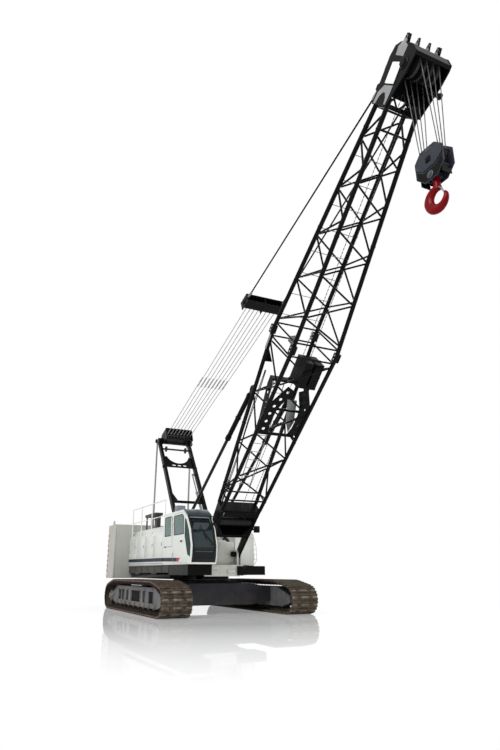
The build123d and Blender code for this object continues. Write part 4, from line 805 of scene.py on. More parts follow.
lamp_box = blocks([((1.52, -1.10, 2.52), (1.70, -0.96, 2.74), 0.015),
                   ((1.50, -1.02, 2.60), (1.54, -0.80, 2.66), 0.008)])
make("left_work_lamp", lamp_box, black_paint, "upperworks")
make("rail_brackets", shells, rail_paint, "upperworks")
make("left_access_ladder", ladder, rail_paint, "upperworks")

# Counterweight: two castings with a joint at half height, sprayed light grey, lifting lugs on top, red
# reflectors and a small lamp at each rear edge
cast_paint = finish_of("painted_casting", (168, 169, 162), (126, 122, 112), 0.45, 0.16, 2.0, 0.4, 0.16, 2.0,
                       bump=0.4, bump_distance=0.004)
dress(cast_paint, "counterweight_lower", "counterweight_upper", "counterweight_lugs")
shells = mirrored([
    block((2.10, 3.695, 1.05), (2.158, 3.76, 2.96), 0.012),
    deck_plate([(1.80, 4.99), (2.135, 4.79), (2.145, 4.80), (1.81, 5.01)], 1.98, 2.02),
    block((0.85, 4.99, 1.30), (1.15, 5.02, 1.75), 0.012),
])
base = [(-2.13, 3.71), (2.13, 3.71), (2.13, 4.78), (1.80, 4.97), (-1.80, 4.97), (-2.13, 4.78)]
shells.append(deck_plate(base, 1.012, 1.056))
shells += [bolt(at(side * x, 4.35, 3.01), (0, 0, 1), 0.05, 0.05) for side in (-1, 1) for x in (0.5, 1.5)]
make("counterweight_edge_strips", shells, cast_paint, "upperworks", 0.004)
reflector = finish_of("red_reflector", (190, 22, 26), (120, 20, 20), 0.2, 0.1, 1.0, 0.0, 0.1, coat=0.6)
shells = [block((side * 2.155 - 0.012, 4.60, z), (side * 2.155 + 0.012, 4.72, z + 0.07), 0.006)
          for side in (-1, 1) for z in np.arange(1.25, 2.75, 0.19)]
make("counterweight_reflectors", shells, reflector, "upperworks")
lens = [(0, 0.06), (0.04, 0.055), (0.055, 0.03), (0.06, 0.0)]
shells = [revolved(at(side * 2.145, 4.66, 1.16), (side, 0, 0), lens, 20) for side in (-1, 1)]
lamp_glass = finish_of("pale_lamp_glass", (222, 222, 216), (150, 150, 150), 0.15, 0.1, coat=0.7)
make("side_lamps", shells, lamp_glass, "upperworks")

# Cab: hollow shell of panels with tinted teal panes in black rubber and a tinted header over the windscreen,
# lined with dark grey trim, with the operator's seat, console and levers inside
dress(white_paint, "cab_shell", "cab_door")
glass = bpy.data.materials.new("teal_tinted_glass")
glass.use_nodes = True
tree = glass.node_tree
shader = tree.nodes["Principled BSDF"]
fill(shader, {"Transmission Weight": 0.7, "IOR": 1.45})
film = put(tree, "ShaderNodeGroup", (-500, 0))
film.node_tree = weather
fill(film, {"Paint": linear(44, 70, 76), "Worn": linear(26, 46, 52), "Dust": linear(110, 118, 116),
            "Gloss Loss": 0.02, "Dust Top": 0.5, "Dust Amount": 0.05, "Edge Wear": 0.0, "Mottle": 0.6,
            "Scale": 3.0})
tree.links.new(film.outputs["Color"], shader.inputs["Base Color"])
film_rough = maths(tree, "MULTIPLY", film.outputs["Roughness"], 0.45, (-250, -200))
tree.links.new(film_rough, shader.inputs["Roughness"])
dress(glass, "cab_glass", "cab_door_glass")
pale_glass = glass.copy()
pale_glass.name = "pale_side_glass"
fill(pale_glass.node_tree.nodes["Principled BSDF"], {"Transmission Weight": 0.3, "Specular IOR Level": 0.3})
pale_film = next(node for node in pale_glass.node_tree.nodes if node.type == "GROUP")
fill(pale_film, {"Paint": linear(82, 116, 108), "Worn": linear(62, 88, 86)})
trim = finish_of("cab_trim", (44, 46, 48), (80, 78, 76), 0.6, 0.2, 2.2, 0.2, 0.2)
seat_cloth = finish_of("seat_cloth", (30, 31, 34), (70, 68, 66), 0.8, 0.15, 2.2, 0.1, 0.3, 20.0, bump=0.5,
                       bump_distance=0.003)
lining = blocks([
    ((-1.50, -0.452, 1.515), (-0.775, -0.436, 2.345), 0.004),
    ((-0.79, -2.60, 1.515), (-0.772, -0.46, 1.945), 0.004),
    ((-1.50, -2.35, 2.972), (-0.78, -0.45, 2.986), 0.004),
    ((-1.50, -2.80, 1.512), (-0.78, -0.46, 1.524), 0.004),
    ((-1.47, -2.84, 1.53), (-0.80, -2.76, 1.60), 0.01),
])
make("cab_lining", lining, trim, "upperworks")


def window_frame(corners, x, width=0.022):
    """A rubber strip round a side pane: its rounded outline in (y, z), carried as a closed ring."""
    corners = np.asarray(corners, float)
    share = np.linspace(0, 1, 5)[:, None]
    ring = []
    for before, corner, after in zip(np.roll(corners, 1, 0), corners, np.roll(corners, -1, 0)):
        start = corner + (before - corner) * 0.05 / np.linalg.norm(before - corner)
        stop = corner + (after - corner) * 0.05 / np.linalg.norm(after - corner)
        ring.append((1 - share) ** 2 * start + 2 * share * (1 - share) * corner + share**2 * stop)
    ring = np.concatenate(ring)
    centre = ring.mean(axis=0)
    inward = centre - ring
    inward /= np.linalg.norm(inward, axis=1)[:, None]
    section = [(-0.006, -0.008), (-0.006, 0.008), (width, 0.008), (width, -0.008)]
    rows = [np.column_stack([np.full(len(ring), x + across_x), *(ring + inward * depth).T])
            for depth, across_x in section]
    points = np.stack(rows, 1)
    points[..., 1] += slew_y
    return points.reshape(-1, 3), [quads(len(ring), 4, wrap_rows=True)]


seals = [
    window_frame([(-1.40, 2.33), (-1.40, 2.93), (-2.14, 2.93), (-2.27, 2.84), (-2.29, 2.33)], -1.548),
    window_frame([(-0.52, 2.33), (-0.52, 2.94), (-1.22, 2.94), (-1.22, 2.33)], -1.548),
    window_frame([(-1.30, 1.95), (-1.30, 2.94), (-2.25, 2.94), (-2.62, 2.30), (-2.68, 1.95)], -0.727),
]
front_line = np.array([(-2.452, 2.80), (-2.777, 2.44), (-2.937, 1.98), (-2.917, 1.70), (-2.882, 1.565)])
for x in (-1.472, -0.803):
    path = np.column_stack([np.full(5, x), front_line[:, 0] + slew_y, front_line[:, 1]])
    seals.append(carried(bent(path, 0.15, 6), oblong(0.014, 0.01), (1, 0, 0)))
bezel_line = np.array([(-2.480, 2.870), (-2.790, 2.440), (-2.950, 1.980), (-2.930, 1.700), (-2.870, 1.500)])
bezel = np.vstack([bezel_line + (-0.006, 0.002), (bezel_line + (0.012, -0.004))[::-1]])
seals += [side_plate(bezel, low, high) for low, high in ((-1.518, -1.466), (-0.809, -0.757))]
sill_line = np.array([(-2.904, 1.60), (-2.870, 1.500)])
sill = np.vstack([sill_line + (-0.0065, 0.0), (sill_line + (0.012, 0.0))[::-1]])
seals.append(side_plate(sill, -1.517, -0.758))
seals += [rod([at(-1.472, y, z), at(-0.803, y, z)], radius, 8)
          for y, z, radius in ((-2.885, 1.572, 0.014), (-2.455, 2.80, 0.014), (-2.936, 1.90, 0.012))]
make("window_seals", seals, rubber, "upperworks")
panel_line = [(-2.950, 1.86), (-2.928, 1.70), (-2.893, 1.57), (-2.880, 1.57), (-2.915, 1.70), (-2.935, 1.86)]
panel_brown = finish_of("smoked_lower_pane", (16, 22, 23), (34, 40, 40), 0.14, 0.02, 0.5, 0.05, 0.3, 3.0,
                        bump=0.03, shine=0.12)
make("windscreen_lower_panel", [side_plate(panel_line, -1.462, -0.813)], panel_brown, "upperworks")
door_line = [(-1.385, 2.345), (-1.385, 2.915), (-2.13, 2.915), (-2.255, 2.83), (-2.275, 2.345)]
make("door_pane", [side_plate(door_line, -1.5495, -1.5465)], pale_glass, "cab_door")
rear_line = [(-0.535, 2.345), (-0.535, 2.925), (-1.205, 2.925), (-1.205, 2.345)]
make("rear_side_pane", [side_plate(rear_line, -1.5495, -1.5465)], pale_glass, "upperworks")
bar = [rod([at(-1.42, -2.935, 1.80), at(-0.86, -2.935, 1.80)], 0.017, 12)]
bar += [rod([at(x, -2.935, 1.80), at(x, -2.895, 1.80)], 0.01, 8) for x in (-1.40, -0.88)]
make("windscreen_bar", bar, bed_paint, "upperworks")
quarter_line = [(-2.36, 2.28), (-2.62, 1.72), (-2.84, 1.66), (-2.87, 1.98), (-2.70, 2.44), (-2.47, 2.76),
                (-2.36, 2.79)]
side_pane = [side_plate(quarter_line, -1.5545, -1.5495)]
dark_glass = finish_of("dark_side_glass", (18, 44, 44), (34, 60, 58), 0.3, 0.02, 0.5, 0.0, 0.5, 3.0,
                       bump=0.02, shine=0.06)
make("quarter_window", side_pane, dark_glass, "upperworks", 0.001)
visor_line = [(-2.20, 3.062), (-2.50, 2.885), (-2.56, 2.83), (-2.575, 2.845), (-2.52, 2.915), (-2.21, 3.085)]
visor = [side_plate(visor_line, -1.53, -0.745)]
visor_tint = finish_of("header_tint", (36, 52, 58), (24, 36, 42), 0.25, 0.02, 0.5, 0.1, 0.6, 4.0, bump=0.02,
                       shine=0.12)
make("cab_sun_visor", visor, visor_tint, "upperworks", 0.003)
shells = blocks([((-1.20, -0.68, 3.045), (-0.90, -0.40, 3.36), 0.03),
                 ((-1.18, -0.70, 3.10), (-0.92, -0.66, 3.30), 0.015)])
roof_unit_grey = finish_of("roof_unit_grey", (118, 124, 134), (84, 88, 94), 0.35, 0.08, 1.0, 0.2, 0.2,
                           shine=0.25)
make("cab_roof_unit", shells, roof_unit_grey, "upperworks")
shells = [block((-1.545, -2.20, 3.035), (-0.73, -0.40, 3.066), 0.012)]
roof_loop = ((-1.40, 3.05), (-1.40, 3.11), (-1.05, 3.11), (-1.05, 3.05))
shells += [rod(bent([at(x, y, z) for x, z in roof_loop], 0.05), 0.012, 8) for y in (-1.9, -1.0)]
make("cab_roof_skin", shells, white_paint, "upperworks")
pull = [at(x, y, 2.128) for x, y in ((-1.546, -2.03), (-1.585, -2.06), (-1.585, -2.16), (-1.546, -2.19))]
shells = [block((-1.572, -2.13, 2.105), (-1.546, -2.02, 2.15), 0.008), rod(bent(pull, 0.02), 0.008, 8)]
make("cab_door_handles", shells, rubber, "cab_door")
shells = blocks([
    ((-1.565, -0.64, 1.985), (-1.548, -0.53, 2.02), 0.006),
    ((-1.556, -1.14, 1.996), (-1.548, -0.66, 2.006), 0.003),
])
make("rear_panel_latch", shells, rubber, "upperworks")
grab = [at(-1.548, -1.262, 1.98), at(-1.59, -1.262, 2.02), at(-1.59, -1.262, 2.90), at(-1.548, -1.262, 2.94)]
make("cab_grab_rail", [rod(bent(grab, 0.04), 0.012, 10)], rail_paint, "upperworks")
wiper = [rod([at(-0.86, -2.925, 2.02), at(-1.12, -2.81, 2.42)], 0.009, 8),
         rod([at(-1.03, -2.895, 2.16), at(-1.20, -2.72, 2.58)], 0.012, 8),
         revolved(at(-0.86, -2.93, 2.02), (0, -1, 0), [(-0.02, 0.025), (0.02, 0.025), (0.03, 0.01)], 12)]
make("windscreen_wiper", wiper, rubber, "upperworks")
arm = [at(-0.76, -2.42, 2.86), at(-0.70, -2.62, 2.86), at(-0.70, -2.66, 2.55)]
mirror = [rod(bent(arm, 0.06), 0.012, 8), block((-0.80, -2.70, 2.36), (-0.62, -2.66, 2.66), 0.015)]
make("cab_mirror", mirror, rubber, "upperworks")
seat_parts = blocks([
    ((-1.38, -1.66, 1.80), (-0.92, -1.14, 1.95), 0.05),
    ((-1.37, -1.25, 1.93), (-0.93, -1.10, 2.50), 0.05),
    ((-1.30, -1.22, 2.50), (-1.00, -1.12, 2.70), 0.04),
    ((-1.42, -1.62, 2.06), (-1.36, -1.20, 2.12), 0.025),
    ((-0.94, -1.62, 2.06), (-0.88, -1.20, 2.12), 0.025),
    ((-1.30, -1.60, 1.52), (-1.00, -1.20, 1.80), 0.03),
    ((-0.87, -2.22, 1.52), (-0.79, -1.20, 2.08), 0.03),
])
make("seat_and_console", seat_parts, seat_cloth, "upperworks")
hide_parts("operator_seat")
lever_feet = ((-1.40, -1.75), (-1.33, -1.78), (-0.84, -1.9), (-0.84, -1.75), (-0.84, -1.6))
knob = [(-0.03, 0.012), (0, 0.028), (0.03, 0.022), (0.04, 0.0)]
levers = [rod([at(x, y, 1.93), at(x + 0.01, y - 0.05, 2.22)], 0.012, 8) for x, y in lever_feet]
levers += [revolved(at(x + 0.01, y - 0.055, 2.24), (0, 0, 1), knob, 12) for x, y in lever_feet]
make("control_levers", levers, rubber, "upperworks")

# Winches: cast steel drums with black flanges between the spine plates, on bearings with bolted caps. Each of
# the three is full of wire rope, laid as one helix.
drum_paint = finish_of("drum_black", (16, 16, 17), (70, 68, 66), 0.35, 0.06, 1.0, 0.5, 0.2, shine=0.1)
rope_steel = finish_of("bright_rope", (176, 176, 174), (120, 118, 114), 0.5, 0.05, 1.0, 0.0, 0.4, 9.0,
                       metallic=0.2)
greased_rope = finish_of("greased_rope", (62, 62, 64), (120, 118, 114), 0.45, 0.05, 1.0, 0.0, 0.5, 9.0,
                         metallic=0.2, shine=0.2)
dress(drum_paint, "main_drum", "auxiliary_drum", "boom_hoist_drum", "boom_foot_drum")


def wound(centre, radius, rope, half):
    """Rope laid on a drum: the radius rises and falls as |sin| along the axis, one wave to each turn of
    the rope, and the wave moves on by one turn for each time round, so that it is one helix."""
    turns = int(2 * half / (2 * rope))
    along = np.linspace(-half, half, turns * 5 + 1)
    turn = full_turn(40)
    wave = np.abs(np.sin(math.pi * (along[:, None] / (2 * rope) + turn[None, :] / (2 * math.pi))))
    reach = radius + rope * wave
    reach[[0, -1]] = radius - 0.01
    points = np.stack(np.broadcast_arrays(along[:, None], reach * np.cos(turn), reach * np.sin(turn)), -1)
    points = points + np.asarray(centre)
    return points.reshape(-1, 3), capped(len(along), len(turn))


for name, radius, rope in (("main_drum", 0.285, 0.013), ("auxiliary_drum", 0.285, 0.013),
                           ("boom_hoist_drum", 0.222, 0.012)):
    coils = [wound(joint_place[name + "_turn"], radius, rope, 0.484)]
    make("rope_on_" + name, coils, rope_steel, name)
cap_profile = [(-0.03, 0.11), (0.0, 0.11), (0.02, 0.09), (0.035, 0.05), (0.035, 0.0)]
shells = []
for name in ("main_drum", "auxiliary_drum", "boom_hoist_drum"):
    centre = joint_place[name + "_turn"]
    for side in (-1, 1):
        shells.append(revolved(centre + (side * 0.632, 0, 0), (side, 0, 0), cap_profile, 24))
        shells += bolt_ring(centre + (side * 0.632, 0, 0), 0.09, 6, side, 0.011)
make("drum_bearing_caps", shells, drum_paint, "upperworks")

# Boom: gloss black lattice of welded steel tubes, in lengths that are pinned together. The chords and lacing
# are from the CAD; pins, collars, rungs, hoses and small plates come here, with their places given on the
# upright boom.
dress(black_paint, "butt_chords", "butt_lacing", "tip_chords", "tip_lacing", "boom_foot_arms",
      "boom_foot_box", "mid_boom_gussets", "rope_roller_boxes", "backstop_ears", "bridle", "hoist_bail",
      "gantry_frame", "backstop_tubes")
grey_link = finish_of("grey_links", (128, 130, 132), (86, 84, 82), 0.35, 0.1, 1.0, 0.3, 0.25, metallic=0.3)
dress(grey_link, "gantry_rear_links")
rod_black = finish_of("blackened_rods", (24, 24, 26), (70, 70, 72), 0.25, 0.03, 1.0, 0.3, 0.1, metallic=0.2,
                      shine=0.15)
dress(rod_black, "backstop_rods")
boom_foot = joint_place["boom_luff"]
rest_luff = 44.4
lean = math.radians(90.0 - rest_luff)


def leaned(shells):
    """Shells from the upright boom (front at -y, height z from the foot pins) to its place at rest."""
    turned = np.array([(1, 0, 0), (0, math.cos(lean), math.sin(lean)), (0, -math.sin(lean), math.cos(lean))])
    return [(points @ turned + boom_foot, faces) for points, faces in shells]


splice_z, top_z, butt_slope = 7.62, 13.77, 0.0896


def chord(side_x, side_y, z):
    """A chord's axis at a height: width and depth grow to the splice and shrink to the head."""
    low, high = z / splice_z, (z - splice_z) / (top_z - splice_z)
    half_width = 0.62 + 0.054 * low if z <= splice_z else 0.674 - 0.269 * high
    half_depth = 0.683 * low if z <= splice_z else 0.683 - 0.453 * high
    return np.array([side_x * half_width, side_y * half_depth, z])


pin_profile = [(-0.088, 0.0), (-0.088, 0.02), (-0.08, 0.028), (0.08, 0.028), (0.088, 0.02), (0.088, 0.0)]
collar_profile = [(-0.035, 0.0565), (-0.02, 0.064), (0.02, 0.064), (0.035, 0.0565)]
bosses, pins = [], []
for side_x, side_y in ((-1, -1), (1, -1), (1, 1), (-1, 1)):
    middle = chord(side_x, side_y, splice_z)
    for dz in (-0.06, 0.05):
        pins.append(revolved(middle + (0, 0, dz), (1, 0, 0), pin_profile, 14))
    for z in (2.35, 4.7, 10.6, 13.1):
        centre = chord(side_x, side_y, z)
        way = chord(side_x, side_y, min(z + 0.3, top_z)) - centre
        bosses.append(revolved(centre, way, collar_profile, 18))
make("splice_pins", leaned(pins), steel_pin, "boom")
make("chord_collars", leaned(bosses), black_paint, "boom")

boss = [(-0.08, 0.0), (-0.08, 0.075), (-0.06, 0.088), (0.05, 0.088), (0.07, 0.075), (0.07, 0.0)]
make("boom_foot_bosses", mirrored([revolved(boom_foot + (0.46, 0, 0), (1, 0, 0), boss, 26)]), black_paint,
     "upperworks")
foot_details = []
foot_cap = [(-0.02, 0.10), (0.0, 0.10), (0.006, 0.085), (0.006, 0.0)]
for side in (-1, 1):
    foot_details.append(revolved((side * 0.66, 0, 0), (side, 0, 0), foot_cap, 28))
    for z in (0.6, 1.1, 1.6):
        foot_details.append(soft_block((side * 0.645 - 0.012, -0.02 - z * 0.1, z),
                                       (side * 0.645 + 0.012, 0.02 + z * 0.1, z + 0.03), 0.006))
foot_details += [soft_block((-0.56, -0.235, z), (0.56, -0.21, z + 0.05), 0.01) for z in (0.96, 1.86)]
foot_details += [slab([(side * 0.56, 0.96), (side * 0.30, 0.96), (side * 0.56, 1.35)], -0.225, -0.21, 1)
                 for side in (-1, 1)]
foot_details += [slab([(-0.55, 1.70), (0.55, 1.70), (0.55, 1.88), (-0.55, 1.88)], -0.222, -0.206, 1)]
make("boom_foot_plates", leaned(foot_details), black_paint, "boom", 0.003)

rungs = [rod([chord(-1, 1, z) + (0.06, -0.02, 0), chord(1, 1, z) + (-0.06, -0.02, 0)], 0.010, 8)
         for z in np.arange(8.1, 13.0, 0.62)]
walk_low, walk_high = 2.6, 6.2
walk = [rod([(x, butt_slope * z - 0.06, z) for z in (walk_low, walk_high)], 0.014, 8) for x in (-0.18, 0.18)]
walk += [rod([(-0.18, butt_slope * z - 0.06, z), (0.18, butt_slope * z - 0.06, z)], 0.010, 8)
         for z in np.arange(walk_low + 0.1, walk_high, 0.28)]
make("boom_ladder_rungs", leaned(rungs + walk), grey_link, "boom")
hoses = []
z = np.linspace(1.95, 6.4, 40)
for k, x in enumerate((-0.55, -0.52)):
    y = -0.02 + z * butt_slope + 0.02 * np.cos(z * 1.7 + k)
    hoses.append(rod(np.column_stack([x + 0.02 * np.sin(z * 2.1 + k), y, z]), 0.013, 8))
turn = np.linspace(0, 7 * math.pi, 120)
coil = np.column_stack([-0.56 + 0.11 * np.cos(turn), 0.20 + turn * 0.004,
                        2.42 + 0.13 * np.sin(turn) + turn * 0.008])
hoses.append(carried(coil, circle(0.016, 8), (0, 1, 0)))
make("boom_hoses", leaned(hoses), rubber, "boom")

mid_low, mid_high = splice_z - 2.87, splice_z - 1.121
shield = [soft_block((x - 0.135, -0.535, mid_high + z), (x + 0.135, -0.522, mid_high + z + 0.03), 0.006)
          for x in (0.095, 0.415) for z in (0.02, 0.36, 0.72)]
guide = [(-0.13, 0.0), (-0.13, 0.05), (0.13, 0.05), (0.13, 0.0)]
shield += [revolved((x, -0.25, mid_high + z), (1, 0, 0), guide, 18) for x in (0.095, 0.415)
           for z in (0.02, 0.74)]
spots = ((-0.36, mid_low + 0.05), (-0.42, mid_low + 0.55), (0.0, mid_high - 0.05), (0.02, mid_high - 0.2))
shield += [bolt((side * 0.606, y, z), (side, 0, 0), 0.015) for side in (-1, 1) for y, z in spots]
make("mid_boom_shield", leaned(shield), black_paint, "boom", 0.003)
plates = [slab([(-0.02, 6.0), (0.29, 6.0), (0.46, 5.3), (0.40, 4.95), (0.20, 5.3)], -0.306, -0.294, 1),
          slab([(-0.20, 7.40), (-0.05, 7.30), (0.16, 7.36), (-0.01, 7.60), (-0.18, 7.55)], 0.52, 0.53, 1),
          soft_block((-0.742, 0.57, 7.02), (-0.730, 0.66, 7.46), 0.004),
          soft_block((-0.735, 0.60, 7.10), (-0.66, 0.63, 7.14), 0.006),
          soft_block((-0.665, 0.325, 3.18), (-0.585, 0.36, 3.52), 0.01)]
make("mid_boom_grey_plates", leaned(plates), grey_link, "boom", 0.002)


def holed_tile(corners, radius, thick):
    """A four-cornered plate with a round hole in its middle: each point of the hole is joined to the place
    where its own direction meets the edge, in front and behind."""
    corners = np.asarray(corners, float)
    centre = corners.mean(axis=0)
    share = np.linspace(0, 1, 6, endpoint=False)[:, None]
    rim = np.concatenate([a + share * (b - a) for a, b in zip(corners, np.roll(corners, -1, 0))])
    way = rim - centre
    hole = centre + radius * way / np.linalg.norm(way, axis=1)[:, None]
    rows = [np.column_stack([ring[:, 0], -butt_slope * ring[:, 1] + lift, ring[:, 1]])
            for ring, lift in ((rim, -thick), (hole, -thick), (hole, thick), (rim, thick))]
    return np.concatenate(rows), [quads(4, len(rim), wrap_rows=True)]


stations = np.array([(0.66, 4.93, 0.30, 4.98), (0.665, 5.20, 0.36, 5.20), (0.665, 5.48, 0.36, 5.46),
                     (0.66, 5.74, 0.35, 5.72), (0.60, 6.00, 0.28, 5.94), (0.46, 6.26, 0.17, 6.16),
                     (0.32, 6.52, 0.06, 6.40)])
legs = [holed_tile([low[:2], high[:2], high[2:], low[2:]], 0.046, 0.007)
        for low, high in zip(stations, stations[1:])]
legs = mirrored(legs)
legs += [slab([(side * 0.67, 7.11), (side * 0.67, 6.64), (side * 0.39, 6.66)], 0.594, 0.606, 1)
         for side in (-1, 1)]
make("perforated_boom_plates", leaned(legs), black_paint, "boom")

# Boom head: black fabricated cheeks with light grey faces, the bracing below them, the caps of the sheaves'
# shaft, the faces of the doubled tip lugs and a blank pale plate
head_grey = finish_of("head_grey_paint", (124, 125, 126), (78, 78, 78), 0.35, 0.08, 1.0, 0.4, 0.35, 5.0,
                      shine=0.25)
sheave_cast = finish_of("sheave_cast", (24, 24, 26), (110, 108, 104), 0.38, 0.05, 1.0, 0.5, 0.25,
                        metallic=0.4, shine=0.2)
dress(black_paint, "boom_head")
dress(sheave_cast, "head_sheaves", "block_sheaves", "gantry_sheaves", "bridle_sheaves")
shaft_z, shaft_y = top_z + 0.70, -0.36
cheek_out = 0.5012
grey = []
for side in (-1, 1):
    x = sorted((side * cheek_out, side * (cheek_out + 0.004)))
    grey.append(slab([(0.06, 14.62), (0.09, 14.80), (0.0, 14.893), (-0.12, 14.895), (-0.27, 14.82),
                      (-0.25, 14.60)], *x, 0))
    grey.append(slab([(0.05, 14.00), (-0.30, 14.00), (-0.29, 13.82), (-0.262, 13.60), (-0.20, 13.60),
                      (-0.17, 13.74), (-0.09, 13.84), (0.0, 13.85), (0.10, 13.76), (0.16, 13.60),
                      (0.25, 13.60), (0.22, 13.84)], *x, 0))
    ear = [(0.232, 14.23), (0.232, 14.53), (0.42, 14.425), (0.42, 14.335)]
    grey.append(slab(ear, *sorted((side * 0.4345, side * 0.4385)), 0))
make("head_cheek_faces", leaned(grey), head_grey, "boom", 0.001)
cap_profile = [(-0.01, 0.15), (0.012, 0.15), (0.02, 0.135), (0.02, 0.09), (0.045, 0.085), (0.05, 0.0)]
caps = [revolved((side * 0.50, shaft_y, shaft_z), (side, 0, 0), cap_profile, 28) for side in (-1, 1)]
for side in (-1, 1):
    caps += bolt_ring(np.array([side * 0.512, shaft_y, shaft_z]), 0.12, 8, side, 0.012)
make("head_shaft_caps", leaned(caps), black_paint, "boom")
lugs = []
eye_profile = [(-0.022, 0.0305), (-0.022, 0.044), (0.022, 0.044), (0.022, 0.0305)]
lug_foot = [(0.036, 14.905), (-0.126, 14.905), (-0.10, 14.965), (0.012, 14.965)]
for side in (-1, 1):
    for x in (0.407, 0.458, 0.15):
        lugs.append(revolved((side * x, -0.045, shaft_z + 0.535), (1, 0, 0), eye_profile, 24, closed=True))
    for x in (0.390, 0.4705, 0.126, 0.1705):
        lugs.append(slab(lug_foot, *sorted((side * x, side * (x + 0.004))), 0))
    lugs.append(slab([(0.02, 14.86), (-0.15, 14.86), (-0.14, 14.905), (0.04, 14.905)],
                     *sorted((side * 0.4705, side * 0.5045)), 0))
make("tip_lug_faces", leaned(lugs), head_grey, "boom")
box_white = [soft_block((-0.530, -0.31, 14.03), (-0.503, 0.04, 14.48), 0.012)]
make("blank_cheek_plate", leaned(box_white), white_paint, "boom")
brace = []
for z0, z1 in ((top_z - 0.15, top_z + 0.22), (top_z + 0.22, top_z - 0.15)):
    brace.append(rod([(-0.36, -0.03, z0), (0.0, -0.03, z1)], 0.022, 10))
    brace.append(rod([(0.0, -0.03, z0), (0.36, -0.03, z1)], 0.022, 10))
brace += [rod([(-0.40, y, z), (0.40, y, z)], 0.03, 12)
          for y, z in ((-0.03, top_z - 0.17), (0.18, top_z - 0.10))]
for side in (-1, 1):
    x = side * 0.44
    brace.append(slab([(-0.29, top_z + 0.20), (-0.20, top_z + 0.20), (-0.262, top_z - 0.62),
                       (-0.31, top_z - 0.62)], x - 0.008, x + 0.008, 0))
roller = [(0.30, 0.0), (0.30, 0.055), (0.58, 0.055), (0.60, 0.075), (0.64, 0.075), (0.64, 0.0)]
brace.append(revolved((0.0, -0.50, shaft_z - 0.33), (1, 0, 0), roller, 22))
make("head_bracing", leaned(brace), black_paint, "boom")
guard = [rod([(x, shaft_y + 0.275 * math.cos(t), shaft_z + 0.275 * math.sin(t)) for x in (-0.36, 0.36)],
             0.010, 8) for t in (0.9, 1.6)]
make("rope_guard_bars", leaned(guard), steel_pin, "boom")

# Ropes: steel wire rope of six strands, bright at the boom hoist and greased at the hook, and steel sockets
# at the pendants' ends. Each rope is a six-lobed outline carried along its line and turned as it goes.
rope_lay = 9.0


def stranded(start, stop, radius, rings_per_metre=22):
    """A straight rope from start to stop: a six-lobed outline, turned by one full turn each lay length."""
    start, stop = np.asarray(start, float), np.asarray(stop, float)
    length = np.linalg.norm(stop - start)
    rings = max(8, int(length * rings_per_metre))
    share = np.linspace(0, 1, rings)
    around = full_turn(18)
    lobes = radius * (0.90 + 0.10 * np.cos(6 * around))
    turn = around[None, :] + (2 * math.pi * share * length / (rope_lay * 2 * radius))[:, None]
    _, first, second = across(stop - start)
    middle = start + share[:, None] * (stop - start)
    points = middle[:, None] + (lobes * np.cos(turn))[..., None] * first
    points = points + (lobes * np.sin(turn))[..., None] * second
    return points.reshape(-1, 3), capped(rings, len(around))


gantry_head, bridle_place = joint_place["hoist_lines_swing"], joint_place["bridle_sheaves_turn"]
line_length = np.linalg.norm(bridle_place - gantry_head)
line_way = (bridle_place - gantry_head) / line_length
line_up = np.array([0.0, -line_way[2], line_way[1]]) * (-1 if line_way[1] < 0 else 1)


def on_line(x, along, up=0.0):
    """A point x across, along the boom hoist line from the gantry head and up square to it."""
    return gantry_head + line_way * along + line_up * up + np.array([x, 0.0, 0.0])


line_x = (-0.5, -0.357, -0.214, -0.071, 0.071, 0.214, 0.357, 0.5)
line_radius, falls_radius, along_radius, beside = 0.0155, 0.0125, 0.013, 0.0327
low_lines = [stranded(on_line(x, 0.616), on_line(x, 4.535), line_radius, 14) for x in line_x]
low_ropes = make("boom_hoist_ropes_lower", low_lines, rope_steel, "hoist_lines")
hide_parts("hoist_ropes_gantry")
near, far = line_length - 4.485, line_length - 0.10
high_lines = [stranded(on_line(x + beside, near), on_line(x + beside, far), line_radius, 14) for x in line_x]
high_ropes = make("boom_hoist_ropes_upper", high_lines, rope_steel, "pendants")
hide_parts("hoist_ropes_bridle")
head_shaft, block_shaft = joint_place["head_sheaves_turn"], joint_place["block_sheaves_turn"]
falls = []
for x_head, x_block in zip((-0.27, -0.09, 0.09, 0.27), (-0.084, -0.028, 0.028, 0.084)):
    for side in (-1, 1):
        falls.append(stranded(block_shaft + (x_block, side * 0.2489, 0),
                              head_shaft + (x_head, side * 0.2539, 0), falls_radius))
fall_piece = make("hoist_rope_falls", falls, greased_rope, "hook_block")
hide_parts("hoist_falls")
dress(black_paint, "boom_pendants")
run = [stranded((x, -0.05, 1.42), (x, -0.10, 6.55), along_radius, 10) for x in (0.05, 0.30)]
run += [stranded((x, -0.10, 7.25), (x * 0.9, 0.06, 14.05), along_radius, 10) for x in (0.05, 0.30)]
make("hoist_rope_along_boom", leaned(run), greased_rope, "boom")
sockets = []
socket = [(0.04, 0.034), (0.07, 0.04), (0.22, 0.040), (0.30, 0.028), (0.31, 0.0)]
pendant_top = joint_place["pendants_swing"]
pendant_low = on_line(0.0, line_length + 0.20)
for side in (-1, 1):
    a, b = pendant_low + (side * 0.604, 0, 0), pendant_top + (side * 0.408, 0, 0)
    for start, way in ((a, b - a), (b, a - b)):
        way = way / np.linalg.norm(way)
        sockets.append(revolved(start, way, socket, 16))
make("pendant_sockets", sockets, steel_pin, "pendants")

# Bridle and hoist bail: welded boxes round the two rows of sheaves, painted black. The bridle gets its covers
# and the caps of its shafts, the bail its thick edges.
shells = []
for x0, x1 in ((-0.625, -0.335), (-0.305, -0.015), (0.015, 0.305), (0.335, 0.625)):
    shells.append(soft_block((x0, line_length - 0.20, 0.118), (x1, line_length + 0.25, 0.165), 0.02))
shells += [soft_block((x, line_length - 0.02, -0.07), (x + 0.02, line_length + 0.12, 0.07), 0.01)
           for x in (-0.665, 0.645)]


